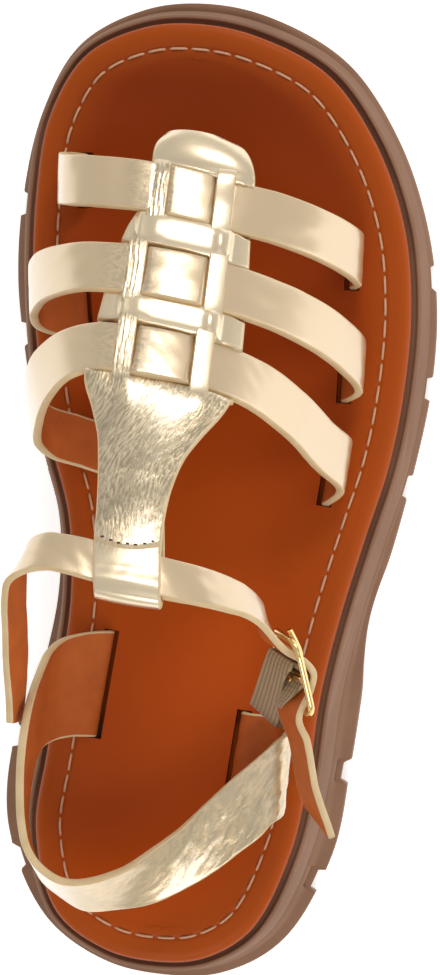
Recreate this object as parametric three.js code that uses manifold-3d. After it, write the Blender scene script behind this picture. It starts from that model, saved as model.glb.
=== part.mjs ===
// Gladiator sandal for the right foot, empty, standing on its sole.
// Millimetres, +Z up, toe towards +Y, outer (buckle) side towards +X, origin under the middle of the outsole.
import * as THREE from 'three';
import { mergeVertices } from 'three/addons/utils/BufferGeometryUtils.js';
import Module from 'manifold-3d';

const wasm = await Module();
wasm.setup();

// Driving dimensions of the sole
const footbedLength = 236;
const ballWidth = 98;
const footbedThickness = 7;
const footbedEdgeRound = 2.4;
const footbedCup = 1.2;        // how far the middle of the footbed lies below its edge
const heelHeight = 38;         // top of the footbed over the ground, at the heel
const ballHeight = 29;         // the same under the ball
const toeRise = 7;             // rise of the footbed from the ball to the tip
const toeSpring = 8;           // rise of the outsole under the tip
const soleFlare = 6;           // how far the lug rim usually stands out past the footbed
const seatGroove = 1.3;        // open groove between footbed edge and lip
const lipHeight = 1.6;
const lipSlope = 0.3;          // how far the lip's top leans out from the groove
const weltReach = 4.4;         // foot of the upper ribbed band, out from the footbed
const bandGroove = 0.9;        // depth of the groove between the two bands
const bandGrooveHeight = 1.6;
const rimHeight = 8.5;         // height of the lugs on the side wall
const rimRound = 1.2;
const lugDepth = 4.5;          // depth of the tread channels
const channelWidth = 5.4;
const sideNotchDepth = 1.8;
const centreChannelWidth = 4;
const archRise = 5;

// Driving dimensions of the upper and its fittings
const strapWidth = 13.4;
const strapThickness = 2.2;
const spineThickness = 2;
const spineCrown = 1.5;
const loopCrown = 0.4;         // what is left of the crown over the loop
const spineWidth = 36;         // at its widest, behind the third strap
const bandWidth = 4.6;         // the strips of the spine that hold the straps
const bandLift = 1.9;          // how far they stand over the spine
const bandLength = 24;
const strapLift = 1.3;         // how far a strap's face stands over the spine where it crosses
const insetInSlot = 4;         // depth of a strap's end in its slot
const slotClearance = 0.35;
const ankleWidth = 10.6;
const ankleThickness = 1.8;
const heelBandThickness = 2;
const instepHeight = 66;       // top of the spine's loop over the footbed
const heelBandHeight = 36;     // top of the quarter over the footbed
const edgeRound = 0.5;
const elasticWidth = 9.6;
const elasticThickness = 1;
const wire = 1.7;              // buckle wire
const buckleLength = 22;
const buckleHeight = 15.4;
const buckleCorner = 4;
const prongWire = 1.4;
const fittingClearance = 0.3;

// Finishes
const leatherGold = { color: 0xd2ba8f, roughness: 0.38, metalness: 0.55 };
const leatherTan = { color: 0x8a3d14, roughness: 0.5, metalness: 0 };
const rubberTaupe = { color: 0x88705c, roughness: 0.75, metalness: 0 };
const elasticTaupe = { color: 0x86684b, roughness: 0.9, metalness: 0 };
const brassGold = { color: 0xe2b866, roughness: 0.22, metalness: 1 };

// Plan outline of the footbed. Along is a share of its length from the heel; inner and outer are shares of
// the ball width; the flares are shares of the sole's flare, square to the outline.
const plan = [
  { along: 0.008, inner: -0.140, outer: 0.115, innerFlare: 1.25, outerFlare: 1.30 },
  { along: 0.043, inner: -0.272, outer: 0.232, innerFlare: 1.35, outerFlare: 1.42 },
  { along: 0.128, inner: -0.343, outer: 0.316, innerFlare: 1.88, outerFlare: 1.55 },
  { along: 0.212, inner: -0.332, outer: 0.345, innerFlare: 2.05, outerFlare: 1.45 },
  { along: 0.297, inner: -0.316, outer: 0.357, innerFlare: 1.33, outerFlare: 1.48 },
  { along: 0.382, inner: -0.309, outer: 0.388, innerFlare: 1.05, outerFlare: 1.05 },
  { along: 0.467, inner: -0.337, outer: 0.432, innerFlare: 0.90, outerFlare: 1.08 },
  { along: 0.551, inner: -0.409, outer: 0.478, innerFlare: 0.88, outerFlare: 0.92 },
  { along: 0.636, inner: -0.457, outer: 0.499, innerFlare: 0.97, outerFlare: 0.98 },
  { along: 0.721, inner: -0.487, outer: 0.497, innerFlare: 1.10, outerFlare: 0.95 },
  { along: 0.806, inner: -0.496, outer: 0.461, innerFlare: 1.02, outerFlare: 0.85 },
  { along: 0.890, inner: -0.476, outer: 0.371, innerFlare: 0.84, outerFlare: 0.90 },
  { along: 0.958, inner: -0.392, outer: 0.234, innerFlare: 0.95, outerFlare: 1.00 },
  { along: 0.992, inner: -0.245, outer: 0.045, innerFlare: 1.06, outerFlare: 1.12 },
];
const heelTip = { along: 0, across: -0.010, flare: 1.22 };
const toeTip = { along: 1, across: -0.105, flare: 1.13 };

// Edge of the footbed from its bottom up: how far it reaches past the outline, how far it lies below the top.
const footbedEdge = [
  { reach: -0.3 * footbedEdgeRound, below: footbedThickness },
  { reach: 0, below: footbedThickness - 0.4 * footbedEdgeRound },
  { reach: 0, below: footbedEdgeRound },
  { reach: -0.3 * footbedEdgeRound, below: 0.3 * footbedEdgeRound },
  { reach: -1.1 * footbedEdgeRound, below: 0 },
  { reach: -2.4 * footbedEdgeRound, below: 0.15 },
];

// Wall of the outsole from the ground up: lug rim, groove, ribbed band, lip and seat. Reach is a share of the
// rim's flare and a size on top; height is a share of the wall and a size on top.
const soleWall = [
  { flare: 1, reach: -rimRound, share: 0, height: 0 },
  { flare: 1, reach: 0, share: 0, height: rimRound },
  { flare: 1, reach: 0, share: 0, height: rimHeight - 0.8 * rimRound },
  { flare: 0.45, reach: 0.55 * weltReach, share: 0, height: rimHeight },
  { flare: 0, reach: weltReach, share: 0.5, height: -bandGrooveHeight },
  { flare: 0, reach: weltReach - bandGroove, share: 0.5, height: -0.75 * bandGrooveHeight },
  { flare: 0, reach: weltReach - bandGroove, share: 0.5, height: -0.25 * bandGrooveHeight },
  { flare: 0, reach: weltReach, share: 0.5, height: 0 },
  { flare: 0, reach: 0.55 * weltReach, share: 1, height: 0.8 * lipHeight },
  { flare: 0, reach: seatGroove + lipSlope, share: 1, height: lipHeight },
  { flare: 0, reach: seatGroove, share: 1, height: 0 },
  { flare: 0, reach: -2, share: 1, height: 0 },
];

// Fineness of the mesh round the outline and across its closed ends, and how near joined walls keep to it
const samplesPerStation = 2;
const meshTolerance = 0.05;
const capColumns = 4;

function smooth(t) {
  const s = THREE.MathUtils.clamp(t, 0, 1);
  return s * s * (3 - 2 * s);
}

function alongOf(y) {
  return y / footbedLength + 0.5;
}

function yOf(along) {
  return (along - 0.5) * footbedLength;
}

// Height of the footbed's edge over the ground: high heel, low ball, rising tip.
function footbedTop(y) {
  const along = alongOf(y);
  const drop = smooth((along - 0.203) / 0.445);
  const tip = Math.max(0, (along - 0.733) / 0.267);
  return heelHeight - (heelHeight - ballHeight) * drop + toeRise * tip * tip;
}

function groundLine(y) {
  const tip = Math.max(0, (alongOf(y) - 0.765) / 0.235);
  return toeSpring * tip * tip;
}

// Closed outline as a smooth curve through the stations, once round from the heel by the outer side.
function outline() {
  const around = [
    { across: heelTip.across, along: heelTip.along, flare: heelTip.flare },
    ...plan.map((row) => ({ across: row.outer, along: row.along, flare: row.outerFlare })),
    { across: toeTip.across, along: toeTip.along, flare: toeTip.flare },
    ...[...plan].reverse().map((row) => ({ across: row.inner, along: row.along, flare: row.innerFlare })),
  ];
  const points = around.map((row) => new THREE.Vector3(
    row.across * ballWidth,
    yOf(row.along),
    row.flare * soleFlare,
  ));
  const curve = new THREE.CatmullRomCurve3(points, true, 'centripetal');
  const count = points.length * samplesPerStation;
  const samples = Array.from({ length: count }, (_, i) => curve.getPoint(i / count));
  return samples.map((point, i) => {
    const next = samples[(i + 1) % count];
    const last = samples[(i + count - 1) % count];
    const tangent = new THREE.Vector2(next.x - last.x, next.y - last.y).normalize();
    return { x: point.x, y: point.y, flare: point.z, outX: tangent.y, outY: -tangent.x };
  });
}

const edge = outline();

// One ring round the outline: reach and height are functions of the outline's point.
function ring(reach, height) {
  return edge.map((point) => {
    const out = reach(point);
    const x = point.x + point.outX * out;
    const y = point.y + point.outY * out;
    return new THREE.Vector3(x, y, height(y, point));
  });
}

// A closed mesh from points and faces, with its faces turned outwards.
function closedMesh(points, faces) {
  let volume = 0;
  for (const [a, b, c] of faces) {
    volume += points[a].dot(new THREE.Vector3().crossVectors(points[b], points[c]));
  }
  const turned = volume < 0 ? faces.map(([a, b, c]) => [a, c, b]) : faces;
  const geometry = new THREE.BufferGeometry();
  geometry.setAttribute('position', new THREE.Float32BufferAttribute(points.flatMap((p) => p.toArray()), 3));
  geometry.setIndex(turned.flat());
  return geometry;
}

// Rings stacked from the bottom up, closed at both ends by a grid across the outline.
function stackedRings(rings, capDip) {
  const count = rings[0].length;
  const half = count / 2;
  const points = rings.flat();
  const faces = [];
  for (let r = 0; r < rings.length - 1; r += 1) {
    for (let i = 0; i < count; i += 1) {
      const a = r * count + i;
      const b = r * count + (i + 1) % count;
      faces.push([a, b, b + count], [a, b + count, a + count]);
    }
  }
  const cap = (ringIndex, facesUp, dip) => {
    const start = ringIndex * count;
    const rows = [[start]];
    for (let i = 1; i < half; i += 1) {
      const outer = rings[ringIndex][i];
      const inner = rings[ringIndex][count - i];
      const row = [start + i];
      for (let j = 1; j < capColumns; j += 1) {
        const share = j / capColumns;
        const point = outer.clone().lerp(inner, share);
        const ends = Math.min(1, 4 * Math.min(i, half - i) / half);
        point.z -= dip * ends * (1 - (2 * share - 1) ** 4);
        row.push(points.push(point) - 1);
      }
      row.push(start + count - i);
      rows.push(row);
    }
    rows.push([start + half]);
    for (let i = 0; i < half; i += 1) {
      const near = rows[i];
      const far = rows[i + 1];
      for (let j = 0; j < capColumns; j += 1) {
        const quad = [near[j] ?? near[0], far[j] ?? far[0], far[j + 1] ?? far[0], near[j + 1] ?? near[0]];
        const pair = [[quad[0], quad[1], quad[2]], [quad[0], quad[2], quad[3]]];
        for (const face of pair) {
          if (new Set(face).size === 3) {
            faces.push(facesUp ? face : [face[0], face[2], face[1]]);
          }
        }
      }
    }
  };
  cap(0, false, 0);
  cap(rings.length - 1, true, capDip);
  return closedMesh(points, faces);
}

function toSolid(geometry) {
  const bare = new THREE.BufferGeometry();
  bare.setAttribute('position', geometry.getAttribute('position').clone());
  if (geometry.index) {
    bare.setIndex(geometry.index.clone());
  }
  const merged = mergeVertices(bare, 1e-4);
  return new wasm.Manifold(new wasm.Mesh({
    numProp: 3,
    vertProperties: new Float32Array(merged.getAttribute('position').array),
    triVerts: new Uint32Array(merged.index.array),
  }));
}

function toGeometry(solid) {
  const mesh = solid.getMesh();
  const geometry = new THREE.BufferGeometry();
  geometry.setAttribute('position', new THREE.BufferAttribute(mesh.vertProperties, 3));
  geometry.setIndex(new THREE.BufferAttribute(mesh.triVerts, 1));
  return geometry;
}

// A box turned about Z, its middle at the given place.
function block(size, centre, turn = 0) {
  const geometry = new THREE.BoxGeometry(...size);
  geometry.rotateZ(turn);
  geometry.translate(...centre);
  return toSolid(geometry);
}

// The footbed: a board with a rolled upper edge, dished along its middle.
function footbedGeometry() {
  const rings = footbedEdge.map((row) => ring(() => row.reach, (y) => footbedTop(y) - row.below));
  return stackedRings(rings, footbedCup);
}

function seatHeight(y) {
  return footbedTop(y) - footbedThickness - fittingClearance;
}

// The outsole before its tread is cut.
function outsoleBlank() {
  const wall = (y) => seatHeight(y) - groundLine(y);
  const rings = soleWall.map((row) => ring(
    (point) => row.flare * point.flare + row.reach,
    (y) => groundLine(y) + row.share * wall(y) + row.height,
  ));
  return stackedRings(rings, 0);
}

// Channels across the tread, each at its share of the length, with a turn that follows the foot.
const channels = [
  { along: 0.777, turn: -0.10 },
  { along: 0.647, turn: -0.05 },
  { along: 0.527, turn: 0 },
  { along: 0.212, turn: 0 },
  { along: 0.092, turn: 0.02 },
];
const arch = { back: 0.305, front: 0.437 };
const centreChannel = { back: 0.05, front: 0.93, height: 8 };

function outsoleGeometry() {
  let solid = toSolid(outsoleBlank());
  const acrossAll = 2 * ballWidth;
  for (const row of channels) {
    const y = yOf(row.along);
    const base = groundLine(y);
    const height = lugDepth * 2;
    solid = solid.subtract(block([acrossAll, channelWidth, height], [0, y, base], row.turn));
  }
  for (const side of [-1, 1]) {
    for (const row of channels) {
      const y = yOf(row.along);
      const wallX = edge.filter((p) => Math.sign(p.outX) === side)
        .map((p) => ({ gap: Math.abs(p.y - y), x: p.x + p.outX * p.flare }))
        .reduce((best, p) => (p.gap < best.gap ? p : best)).x;
      const size = [2 * sideNotchDepth, channelWidth, 2.25 * rimHeight];
      solid = solid.subtract(block(size, [wallX, y, groundLine(y)], row.turn));
    }
  }
  const archBack = yOf(arch.back);
  const archFront = yOf(arch.front);
  const profile = new THREE.Shape([
    new THREE.Vector2(archBack - archRise, -archRise),
    new THREE.Vector2(archFront + archRise, -archRise),
    new THREE.Vector2(archFront - archRise, archRise),
    new THREE.Vector2(archBack + archRise, archRise),
  ]);
  const hollow = new THREE.ExtrudeGeometry(profile, { depth: acrossAll, bevelEnabled: false });
  hollow.rotateX(Math.PI / 2);
  hollow.rotateZ(Math.PI / 2);
  hollow.translate(-ballWidth, 0, 0);
  solid = solid.subtract(toSolid(hollow));
  for (const [from, to] of [[yOf(centreChannel.back), archBack], [archFront, yOf(centreChannel.front)]]) {
    const size = [centreChannelWidth, to - from, centreChannel.height];
    solid = solid.subtract(block(size, [0, (from + to) / 2, 0]));
  }
  return toGeometry(solid);
}

// Direction across a strap, from its front or lower edge to its rear or upper one. Turn is measured from
// straight back towards the outer side, tilt up from level, both in degrees.
function direction(turn, tilt) {
  const t = THREE.MathUtils.degToRad(turn);
  const p = THREE.MathUtils.degToRad(tilt);
  return new THREE.Vector3(Math.sin(t) * Math.cos(p), -Math.cos(t) * Math.cos(p), Math.sin(p));
}

// Across is a share of the ball width, along of the footbed's length, up of the strap's own height.
function spot(across, along, up, height) {
  const y = yOf(along);
  return new THREE.Vector3(across * ballWidth, y, footbedTop(y) + up * height);
}

// Both edges of a strap of even width from its middle line.
function evenEdges(rows, width, height) {
  return rows.map(([across, along, up, turn, tilt]) => {
    const middle = spot(across, along, up, height);
    const half = direction(turn, tilt).multiplyScalar(width / 2);
    return { front: middle.clone().sub(half), rear: middle.clone().add(half) };
  });
}

// A strap end that stands straight down in its slot.
function inSlot(edges) {
  const down = (row) => ({
    front: row.front.clone().setZ(row.front.z - insetInSlot),
    rear: row.rear.clone().setZ(row.rear.z - insetInSlot),
  });
  return [down(edges[0]), ...edges, down(edges[edges.length - 1])];
}

// A leather strip between two edge curves of its outer face: a rounded section carried along them.
function ribbon(edges, { thickness, columns = 2, crown = () => 0, samples = 2, grow = 0 }) {
  const front = new THREE.CatmullRomCurve3(edges.map((row) => row.front), false, 'centripetal');
  const rear = new THREE.CatmullRomCurve3(edges.map((row) => row.rear), false, 'centripetal');
  const count = Math.round((edges.length - 1) * samples);
  const pairs = Array.from({ length: count + 1 }, (_, i) => ({
    front: front.getPoint(i / count),
    rear: rear.getPoint(i / count),
  }));
  const middles = pairs.map((pair) => pair.front.clone().add(pair.rear).multiplyScalar(0.5));
  const points = [];
  pairs.forEach((pair, i) => {
    const forward = middles[Math.min(i + 1, count)].clone().sub(middles[Math.max(i - 1, 0)]).normalize();
    const across = pair.rear.clone().sub(pair.front);
    const width = across.length();
    across.normalize();
    const normal = new THREE.Vector3().crossVectors(across, forward).normalize();
    const shift = i === 0 ? -grow : (i === count ? grow : 0);
    const put = (w, n) => points.push(pair.front.clone()
      .addScaledVector(across, w)
      .addScaledVector(normal, n)
      .addScaledVector(forward, shift));
    const bulge = (share) => crown(i / count) * (1 - (2 * share - 1) ** 2);
    const round = edgeRound;
    const top = grow;
    const bottom = -thickness - grow;
    const span = (j) => round + (width - 2 * round) * (j / columns);
    put(-grow, top - round);
    for (let j = 0; j <= columns; j += 1) {
      const wide = j === 0 ? -grow : (j === columns ? grow : 0);
      put(span(j) + wide, top + bulge(j / columns));
    }
    put(width + grow, top - round);
    put(width + grow, bottom + round);
    for (let j = columns; j >= 0; j -= 1) {
      const wide = j === 0 ? -grow : (j === columns ? grow : 0);
      put(span(j) + wide, bottom + bulge(j / columns));
    }
    put(-grow, bottom + round);
  });
  const size = 2 * columns + 6;
  const faces = [];
  for (let i = 0; i < count; i += 1) {
    for (let k = 0; k < size; k += 1) {
      const a = i * size + k;
      const b = i * size + (k + 1) % size;
      faces.push([a, b, b + size], [a, b + size, a + size]);
    }
  }
  for (const [start, turned] of [[0, false], [count * size, true]]) {
    for (let k = 0; k < columns + 2; k += 1) {
      const quad = [start + k, start + k + 1, start + size - 2 - k, start + size - 1 - k];
      const order = turned ? quad : [...quad].reverse();
      faces.push([order[0], order[1], order[2]], [order[0], order[2], order[3]]);
    }
  }
  return closedMesh(points, faces);
}

// The spine of the upper, from its front tab over the instep to the loop round the ankle strap.
// Across, along, up as a share of the instep height, width as a share of the spine's, turn and tilt.
const spineRows = [
  [-0.064, 0.8765, 0.333, 0.42, -4, 0],
  [-0.052, 0.8650, 0.364, 0.62, 0, -2],
  [-0.038, 0.838, 0.424, 0.71, 3, -4],
  [-0.038, 0.806, 0.462, 0.73, -2, -5],
  [-0.053, 0.769, 0.530, 0.85, -4, -5],
  [-0.062, 0.724, 0.596, 0.94, -4.5, -5],
  [-0.067, 0.681, 0.664, 0.99, -4, -6],
  [-0.072, 0.646, 0.718, 1.02, -2, -6],
  [-0.076, 0.617, 0.764, 1.02, 0, -5],
  [-0.074, 0.590, 0.808, 0.88, 2, -4],
  [-0.084, 0.563, 0.845, 0.70, 4.5, -3],
  [-0.097, 0.540, 0.872, 0.58, 5, -2],
  [-0.104, 0.514, 0.896, 0.505, 5, -1],
  [-0.107, 0.489, 0.912, 0.465, 4, 0],
  [-0.105, 0.459, 0.948, 0.453, 0, 0],
  [-0.098, 0.432, 0.994, 0.453, -3, 0],
  [-0.090, 0.404, 1.012, 0.447, -4.8, 0],
];
// The loop's fold and its lower layer, in the same columns.
const loopRows = [
  [-0.089, 0.3965, 0.990, 0.447, -4.8, 0],
  [-0.089, 0.3932, 0.957, 0.447, -4.8, 0],
  [-0.089, 0.3945, 0.915, 0.447, -4.8, 0],
  [-0.090, 0.4025, 0.880, 0.447, -4.8, 0],
  [-0.096, 0.428, 0.858, 0.447, -3, 0],
  [-0.103, 0.4555, 0.840, 0.447, 0, 0],
  [-0.106, 0.4745, 0.873, 0.447, 2, 0],
];

function spineEdges() {
  return [...spineRows, ...loopRows].map(([across, along, up, share, turn, tilt]) => {
    const middle = spot(across, along, up, instepHeight);
    const half = new THREE.Vector3(
      Math.cos(THREE.MathUtils.degToRad(turn)),
      Math.sin(THREE.MathUtils.degToRad(turn)),
      Math.sin(THREE.MathUtils.degToRad(tilt)),
    ).normalize().multiplyScalar(0.5 * share * spineWidth);
    return { front: middle.clone().add(half), rear: middle.clone().sub(half) };
  });
}

// Shares of the spine's run between which its crown fades to that of the loop.
const crownFade = { from: 0.54, to: 0.70 };

function crownAt(share) {
  const fade = smooth((share - crownFade.from) / (crownFade.to - crownFade.from));
  return THREE.MathUtils.lerp(spineCrown, loopCrown, fade);
}

// The spine's row at a share of the length, between those of the table.
function spineRowAt(along) {
  const next = spineRows.findIndex((row) => row[1] < along);
  const ahead = spineRows[next - 1];
  const behind = spineRows[next];
  const share = (ahead[1] - along) / (ahead[1] - behind[1]);
  return ahead.map((value, k) => THREE.MathUtils.lerp(value, behind[k], share));
}

// Height of the spine's face over the footbed along its middle, crown included.
function spineHeight(along) {
  return instepHeight * spineRowAt(along)[2] + spineCrown;
}

// A point of the spine's face, beside its middle too, where its rows are turned, tilted and crowned.
function onSpine(x, along, lift) {
  const [middle, , , , turn] = spineRowAt(along);
  const beside = x - middle * ballWidth;
  const row = along - beside * Math.tan(THREE.MathUtils.degToRad(turn)) / footbedLength;
  const [, , up, share, , tilt] = spineRowAt(row);
  const sag = spineCrown * (2 * beside / (share * spineWidth)) ** 2;
  const rise = beside * Math.tan(THREE.MathUtils.degToRad(tilt));
  const y = yOf(along);
  return new THREE.Vector3(x, y, footbedTop(y) + instepHeight * up + spineCrown - sag + rise + lift);
}

// The three cross straps, from the inner slot over the foot to the outer slot. Across, along, up as a
// share of the height at which the strap crosses the spine, turn and tilt of its width.
const strapRows = {
  front: { crossing: 0.815, rows: [
    [-0.385, 0.825, 0, 4, 0],
    [-0.420, 0.824, 0.18, 4, 2],
    [-0.420, 0.822, 0.44, 5, 9],
    [-0.388, 0.820, 0.72, 6, 16],
    [-0.320, 0.8205, 0.89, 6, 20],
    [-0.235, 0.8205, 0.965, 5, 22],
    [-0.165, 0.819, 1, 2, 23],
    [-0.060, 0.813, 1, -4, 24],
    [0.035, 0.806, 0.955, -6, 25],
    [0.150, 0.799, 0.83, -5, 23],
    [0.260, 0.787, 0.62, -2, 21],
    [0.332, 0.775, 0.375, 0, 18],
    [0.367, 0.765, 0.15, 3, 10],
    [0.353, 0.762, 0, 4, 0],
  ] },
  middle: { crossing: 0.727, rows: [
    [-0.360, 0.686, 0, 10, 0],
    [-0.415, 0.684, 0.07, 9, 2],
    [-0.462, 0.689, 0.16, 7, 6],
    [-0.470, 0.700, 0.34, 8, 10],
    [-0.442, 0.714, 0.56, 11, 17],
    [-0.384, 0.7235, 0.78, 12, 23],
    [-0.304, 0.7305, 0.94, 9, 27],
    [-0.205, 0.732, 1, 5, 28],
    [-0.072, 0.7275, 1.01, 1, 28],
    [0.053, 0.7205, 0.95, -2, 29],
    [0.176, 0.708, 0.78, -3, 29],
    [0.280, 0.691, 0.58, -3, 27],
    [0.352, 0.672, 0.35, -1, 22],
    [0.396, 0.651, 0.125, 2, 12],
    [0.360, 0.641, 0, 2, 0],
  ] },
  rear: { crossing: 0.648, rows: [
    [-0.255, 0.539, 0.015, 8, 3],
    [-0.325, 0.546, 0.065, 9, 5],
    [-0.402, 0.553, 0.125, 10, 6],
    [-0.436, 0.564, 0.24, 13, 10],
    [-0.430, 0.584, 0.48, 20, 20],
    [-0.399, 0.611, 0.70, 23, 25],
    [-0.335, 0.636, 0.88, 20, 30],
    [-0.255, 0.6485, 0.97, 12, 31],
    [-0.195, 0.650, 1, 5, 31],
    [-0.080, 0.646, 1, -2, 31],
    [0.045, 0.639, 0.945, -8, 33],
    [0.158, 0.623, 0.80, -9, 32],
    [0.262, 0.593, 0.57, -8, 28],
    [0.325, 0.566, 0.355, -8, 24],
    [0.378, 0.544, 0.115, -3, 14],
    [0.341, 0.529, 0, -4, 3],
  ] },
};

const strapSection = { thickness: strapThickness, columns: 1 };

function strapEdges({ crossing, rows }) {
  const height = spineHeight(crossing) + strapLift;
  return inSlot(evenEdges(rows, strapWidth, height));
}

const crossStraps = Object.values(strapRows).map(strapEdges);

// Strips of the spine that pass over a strap: across is the strip's middle at each crossing.
const bandRows = [
  { crossing: 0.815, across: -0.140 },
  { crossing: 0.807, across: 0.025 },
  { crossing: 0.729, across: -0.172 },
  { crossing: 0.722, across: 0.031 },
  { crossing: 0.651, across: -0.172 },
  { crossing: 0.645, across: 0.022 },
];
// Shape of one strip: share of its length from the front, and share of its lift.
const bandArc = [[-0.5, -0.6], [-0.36, 0.35], [-0.2, 1], [0, 1.1], [0.2, 1], [0.36, 0.35], [0.5, -0.6]];

function bandEdges({ crossing, across }) {
  return bandArc.map(([share, lift]) => {
    const along = crossing - share * bandLength / footbedLength;
    const x = across * ballWidth;
    return {
      front: onSpine(x + bandWidth / 2, along, lift * bandLift),
      rear: onSpine(x - bandWidth / 2, along, lift * bandLift),
    };
  });
}

function vampGeometry() {
  const spine = ribbon(spineEdges(), { thickness: spineThickness, columns: 4, crown: crownAt });
  let solid = toSolid(spine);
  for (const edges of crossStraps) {
    solid = solid.add(toSolid(ribbon(edges, strapSection)));
  }
  for (const row of bandRows) {
    const strip = ribbon(bandEdges(row), { thickness: spineThickness, columns: 1, samples: 1 });
    solid = solid.add(toSolid(strip));
  }
  return toGeometry(solid.simplify(meshTolerance));
}

// Quarters and heel band in one piece of leather: up from the inner slot, round the heel, over the fold
// on the outer side and down into the outer slot. Each edge has across, along and up as a share.
const heelBandRows = [
  { front: [-0.209, 0.348, 0.0], rear: [-0.230, 0.234, 0.0] },
  { front: [-0.272, 0.343, 0.07], rear: [-0.280, 0.232, 0.08] },
  { front: [-0.318, 0.336, 0.17], rear: [-0.318, 0.228, 0.18] },
  { front: [-0.342, 0.325, 0.33], rear: [-0.342, 0.222, 0.31] },
  { front: [-0.350, 0.306, 0.57], rear: [-0.350, 0.213, 0.41] },
  { front: [-0.353, 0.284, 0.83], rear: [-0.354, 0.202, 0.455] },
  { front: [-0.356, 0.255, 0.965], rear: [-0.358, 0.188, 0.46] },
  { front: [-0.359, 0.220, 0.965], rear: [-0.360, 0.171, 0.45] },
  { front: [-0.357, 0.184, 0.915], rear: [-0.362, 0.153, 0.43] },
  { front: [-0.349, 0.150, 0.86], rear: [-0.358, 0.134, 0.39] },
  { front: [-0.330, 0.121, 0.81], rear: [-0.338, 0.108, 0.36] },
  { front: [-0.292, 0.100, 0.75], rear: [-0.299, 0.080, 0.31] },
  { front: [-0.235, 0.088, 0.72], rear: [-0.244, 0.064, 0.31] },
  { front: [-0.170, 0.090, 0.70], rear: [-0.182, 0.054, 0.35] },
  { front: [-0.080, 0.106, 0.645], rear: [-0.090, 0.060, 0.38] },
  { front: [-0.016, 0.128, 0.60], rear: [-0.012, 0.069, 0.39] },
  { front: [0.046, 0.152, 0.56], rear: [0.064, 0.087, 0.41] },
  { front: [0.107, 0.182, 0.53], rear: [0.139, 0.110, 0.44] },
  { front: [0.163, 0.209, 0.52], rear: [0.201, 0.134, 0.47] },
  { front: [0.222, 0.234, 0.515], rear: [0.250, 0.153, 0.49] },
  { front: [0.270, 0.254, 0.50], rear: [0.278, 0.168, 0.485] },
  { front: [0.297, 0.262, 0.455], rear: [0.297, 0.173, 0.45] },
  { front: [0.306, 0.266, 0.385], rear: [0.303, 0.176, 0.38] },
  { front: [0.299, 0.270, 0.255], rear: [0.293, 0.179, 0.255] },
  { front: [0.275, 0.273, 0.115], rear: [0.267, 0.181, 0.125] },
  { front: [0.235, 0.275, 0.030], rear: [0.226, 0.183, 0.04] },
  { front: [0.184, 0.275, 0.0], rear: [0.168, 0.183, 0.0] },
];

const heelBandEdges = inSlot(heelBandRows.map((row) => ({
  front: spot(...row.front, heelBandHeight),
  rear: spot(...row.rear, heelBandHeight),
})));
const heelBandSection = { thickness: heelBandThickness, columns: 2, samples: 1.5 };

// The ankle strap: sewn outside the inner quarter, through the loop, through the buckle, to its free tail.
const ankleRows = [
  [-0.386, 0.254, 0.470, -90, 84],
  [-0.386, 0.280, 0.508, -90, 78],
  [-0.388, 0.319, 0.579, -90, 70],
  [-0.390, 0.356, 0.670, -88, 69],
  [-0.392, 0.388, 0.758, -65, 69],
  [-0.384, 0.415, 0.827, -30, 62],
  [-0.353, 0.432, 0.876, 5, 50],
  [-0.306, 0.439, 0.906, 12, 38],
  [-0.250, 0.438, 0.926, 12, 30],
  [-0.184, 0.434, 0.938, 9, 25],
  [-0.099, 0.429, 0.943, 8.7, 22],
  [-0.011, 0.423, 0.932, 8.5, 25],
  [0.076, 0.418, 0.878, 8.8, 34],
  [0.150, 0.411, 0.800, 9, 44],
  [0.196, 0.403, 0.722, 12, 54],
  [0.228, 0.391, 0.650, 18, 63],
];
// The buckle's middle, the way its strap runs back through it and the way its middle bar stands.
const buckle = { across: 0.301, along: 0.331, up: 0.455, back: [0.25, -0.88, -0.42], bar: [0.55, -0.28, 0.78] };

const buckleAlong = new THREE.Vector3(...buckle.back).normalize();
const buckleOut = new THREE.Vector3().crossVectors(new THREE.Vector3(...buckle.bar), buckleAlong).normalize();
const buckleUp = new THREE.Vector3().crossVectors(buckleAlong, buckleOut).normalize();
const buckleCentre = spot(buckle.across, buckle.along, buckle.up, instepHeight);

// A place in the buckle's own frame: along the strap, up its width and out from the foot.
function atBuckle(along, up, out) {
  return buckleCentre.clone()
    .addScaledVector(buckleAlong, along)
    .addScaledVector(buckleUp, up)
    .addScaledVector(buckleOut, out);
}

const barRadius = wire / 2;
const elasticRadius = barRadius + fittingClearance + elasticThickness;
const strapOverBar = elasticRadius + fittingClearance + ankleThickness;
const strapInside = -(barRadius + fittingClearance);

// Middle line of the strap where it weaves through the buckle, and its free tail behind it.
function buckleEdges() {
  const half = ankleWidth / 2;
  const halfLength = (buckleLength - wire) / 2;
  const weave = [
    [-halfLength, strapInside - 1],
    [-0.45 * halfLength, strapOverBar * 0.55],
    [0, strapOverBar],
    [0.45 * halfLength, strapOverBar * 0.55],
    [halfLength, strapInside - 1],
  ];
  return weave.map(([along, out]) => ({
    front: atBuckle(along, -half, out),
    rear: atBuckle(along, half, out),
  }));
}

const tailRows = [
  [0.339, 0.262, 0.390, 105, 64],
  [0.371, 0.214, 0.365, 105, 64],
];
// Its tip is cut on a slant.
const tailTip = { front: [0.368, 0.193, 0.273], rear: [0.444, 0.1655, 0.41] };

const ankleEdges = [
  ...evenEdges(ankleRows, ankleWidth, instepHeight),
  ...buckleEdges(),
  ...evenEdges(tailRows, ankleWidth, instepHeight),
  { front: spot(...tailTip.front, instepHeight), rear: spot(...tailTip.rear, instepHeight) },
];

// A round rod along a line of places.
function rod(places, diameter) {
  const path = new THREE.CatmullRomCurve3(places, false, 'centripetal');
  const section = new THREE.Shape();
  section.absarc(0, 0, diameter / 2, 0, 2 * Math.PI, false);
  const steps = places.length > 2 ? places.length + 2 : 1;
  return new THREE.ExtrudeGeometry(section, { steps, curveSegments: 4, bevelEnabled: false, extrudePath: path });
}

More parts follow.
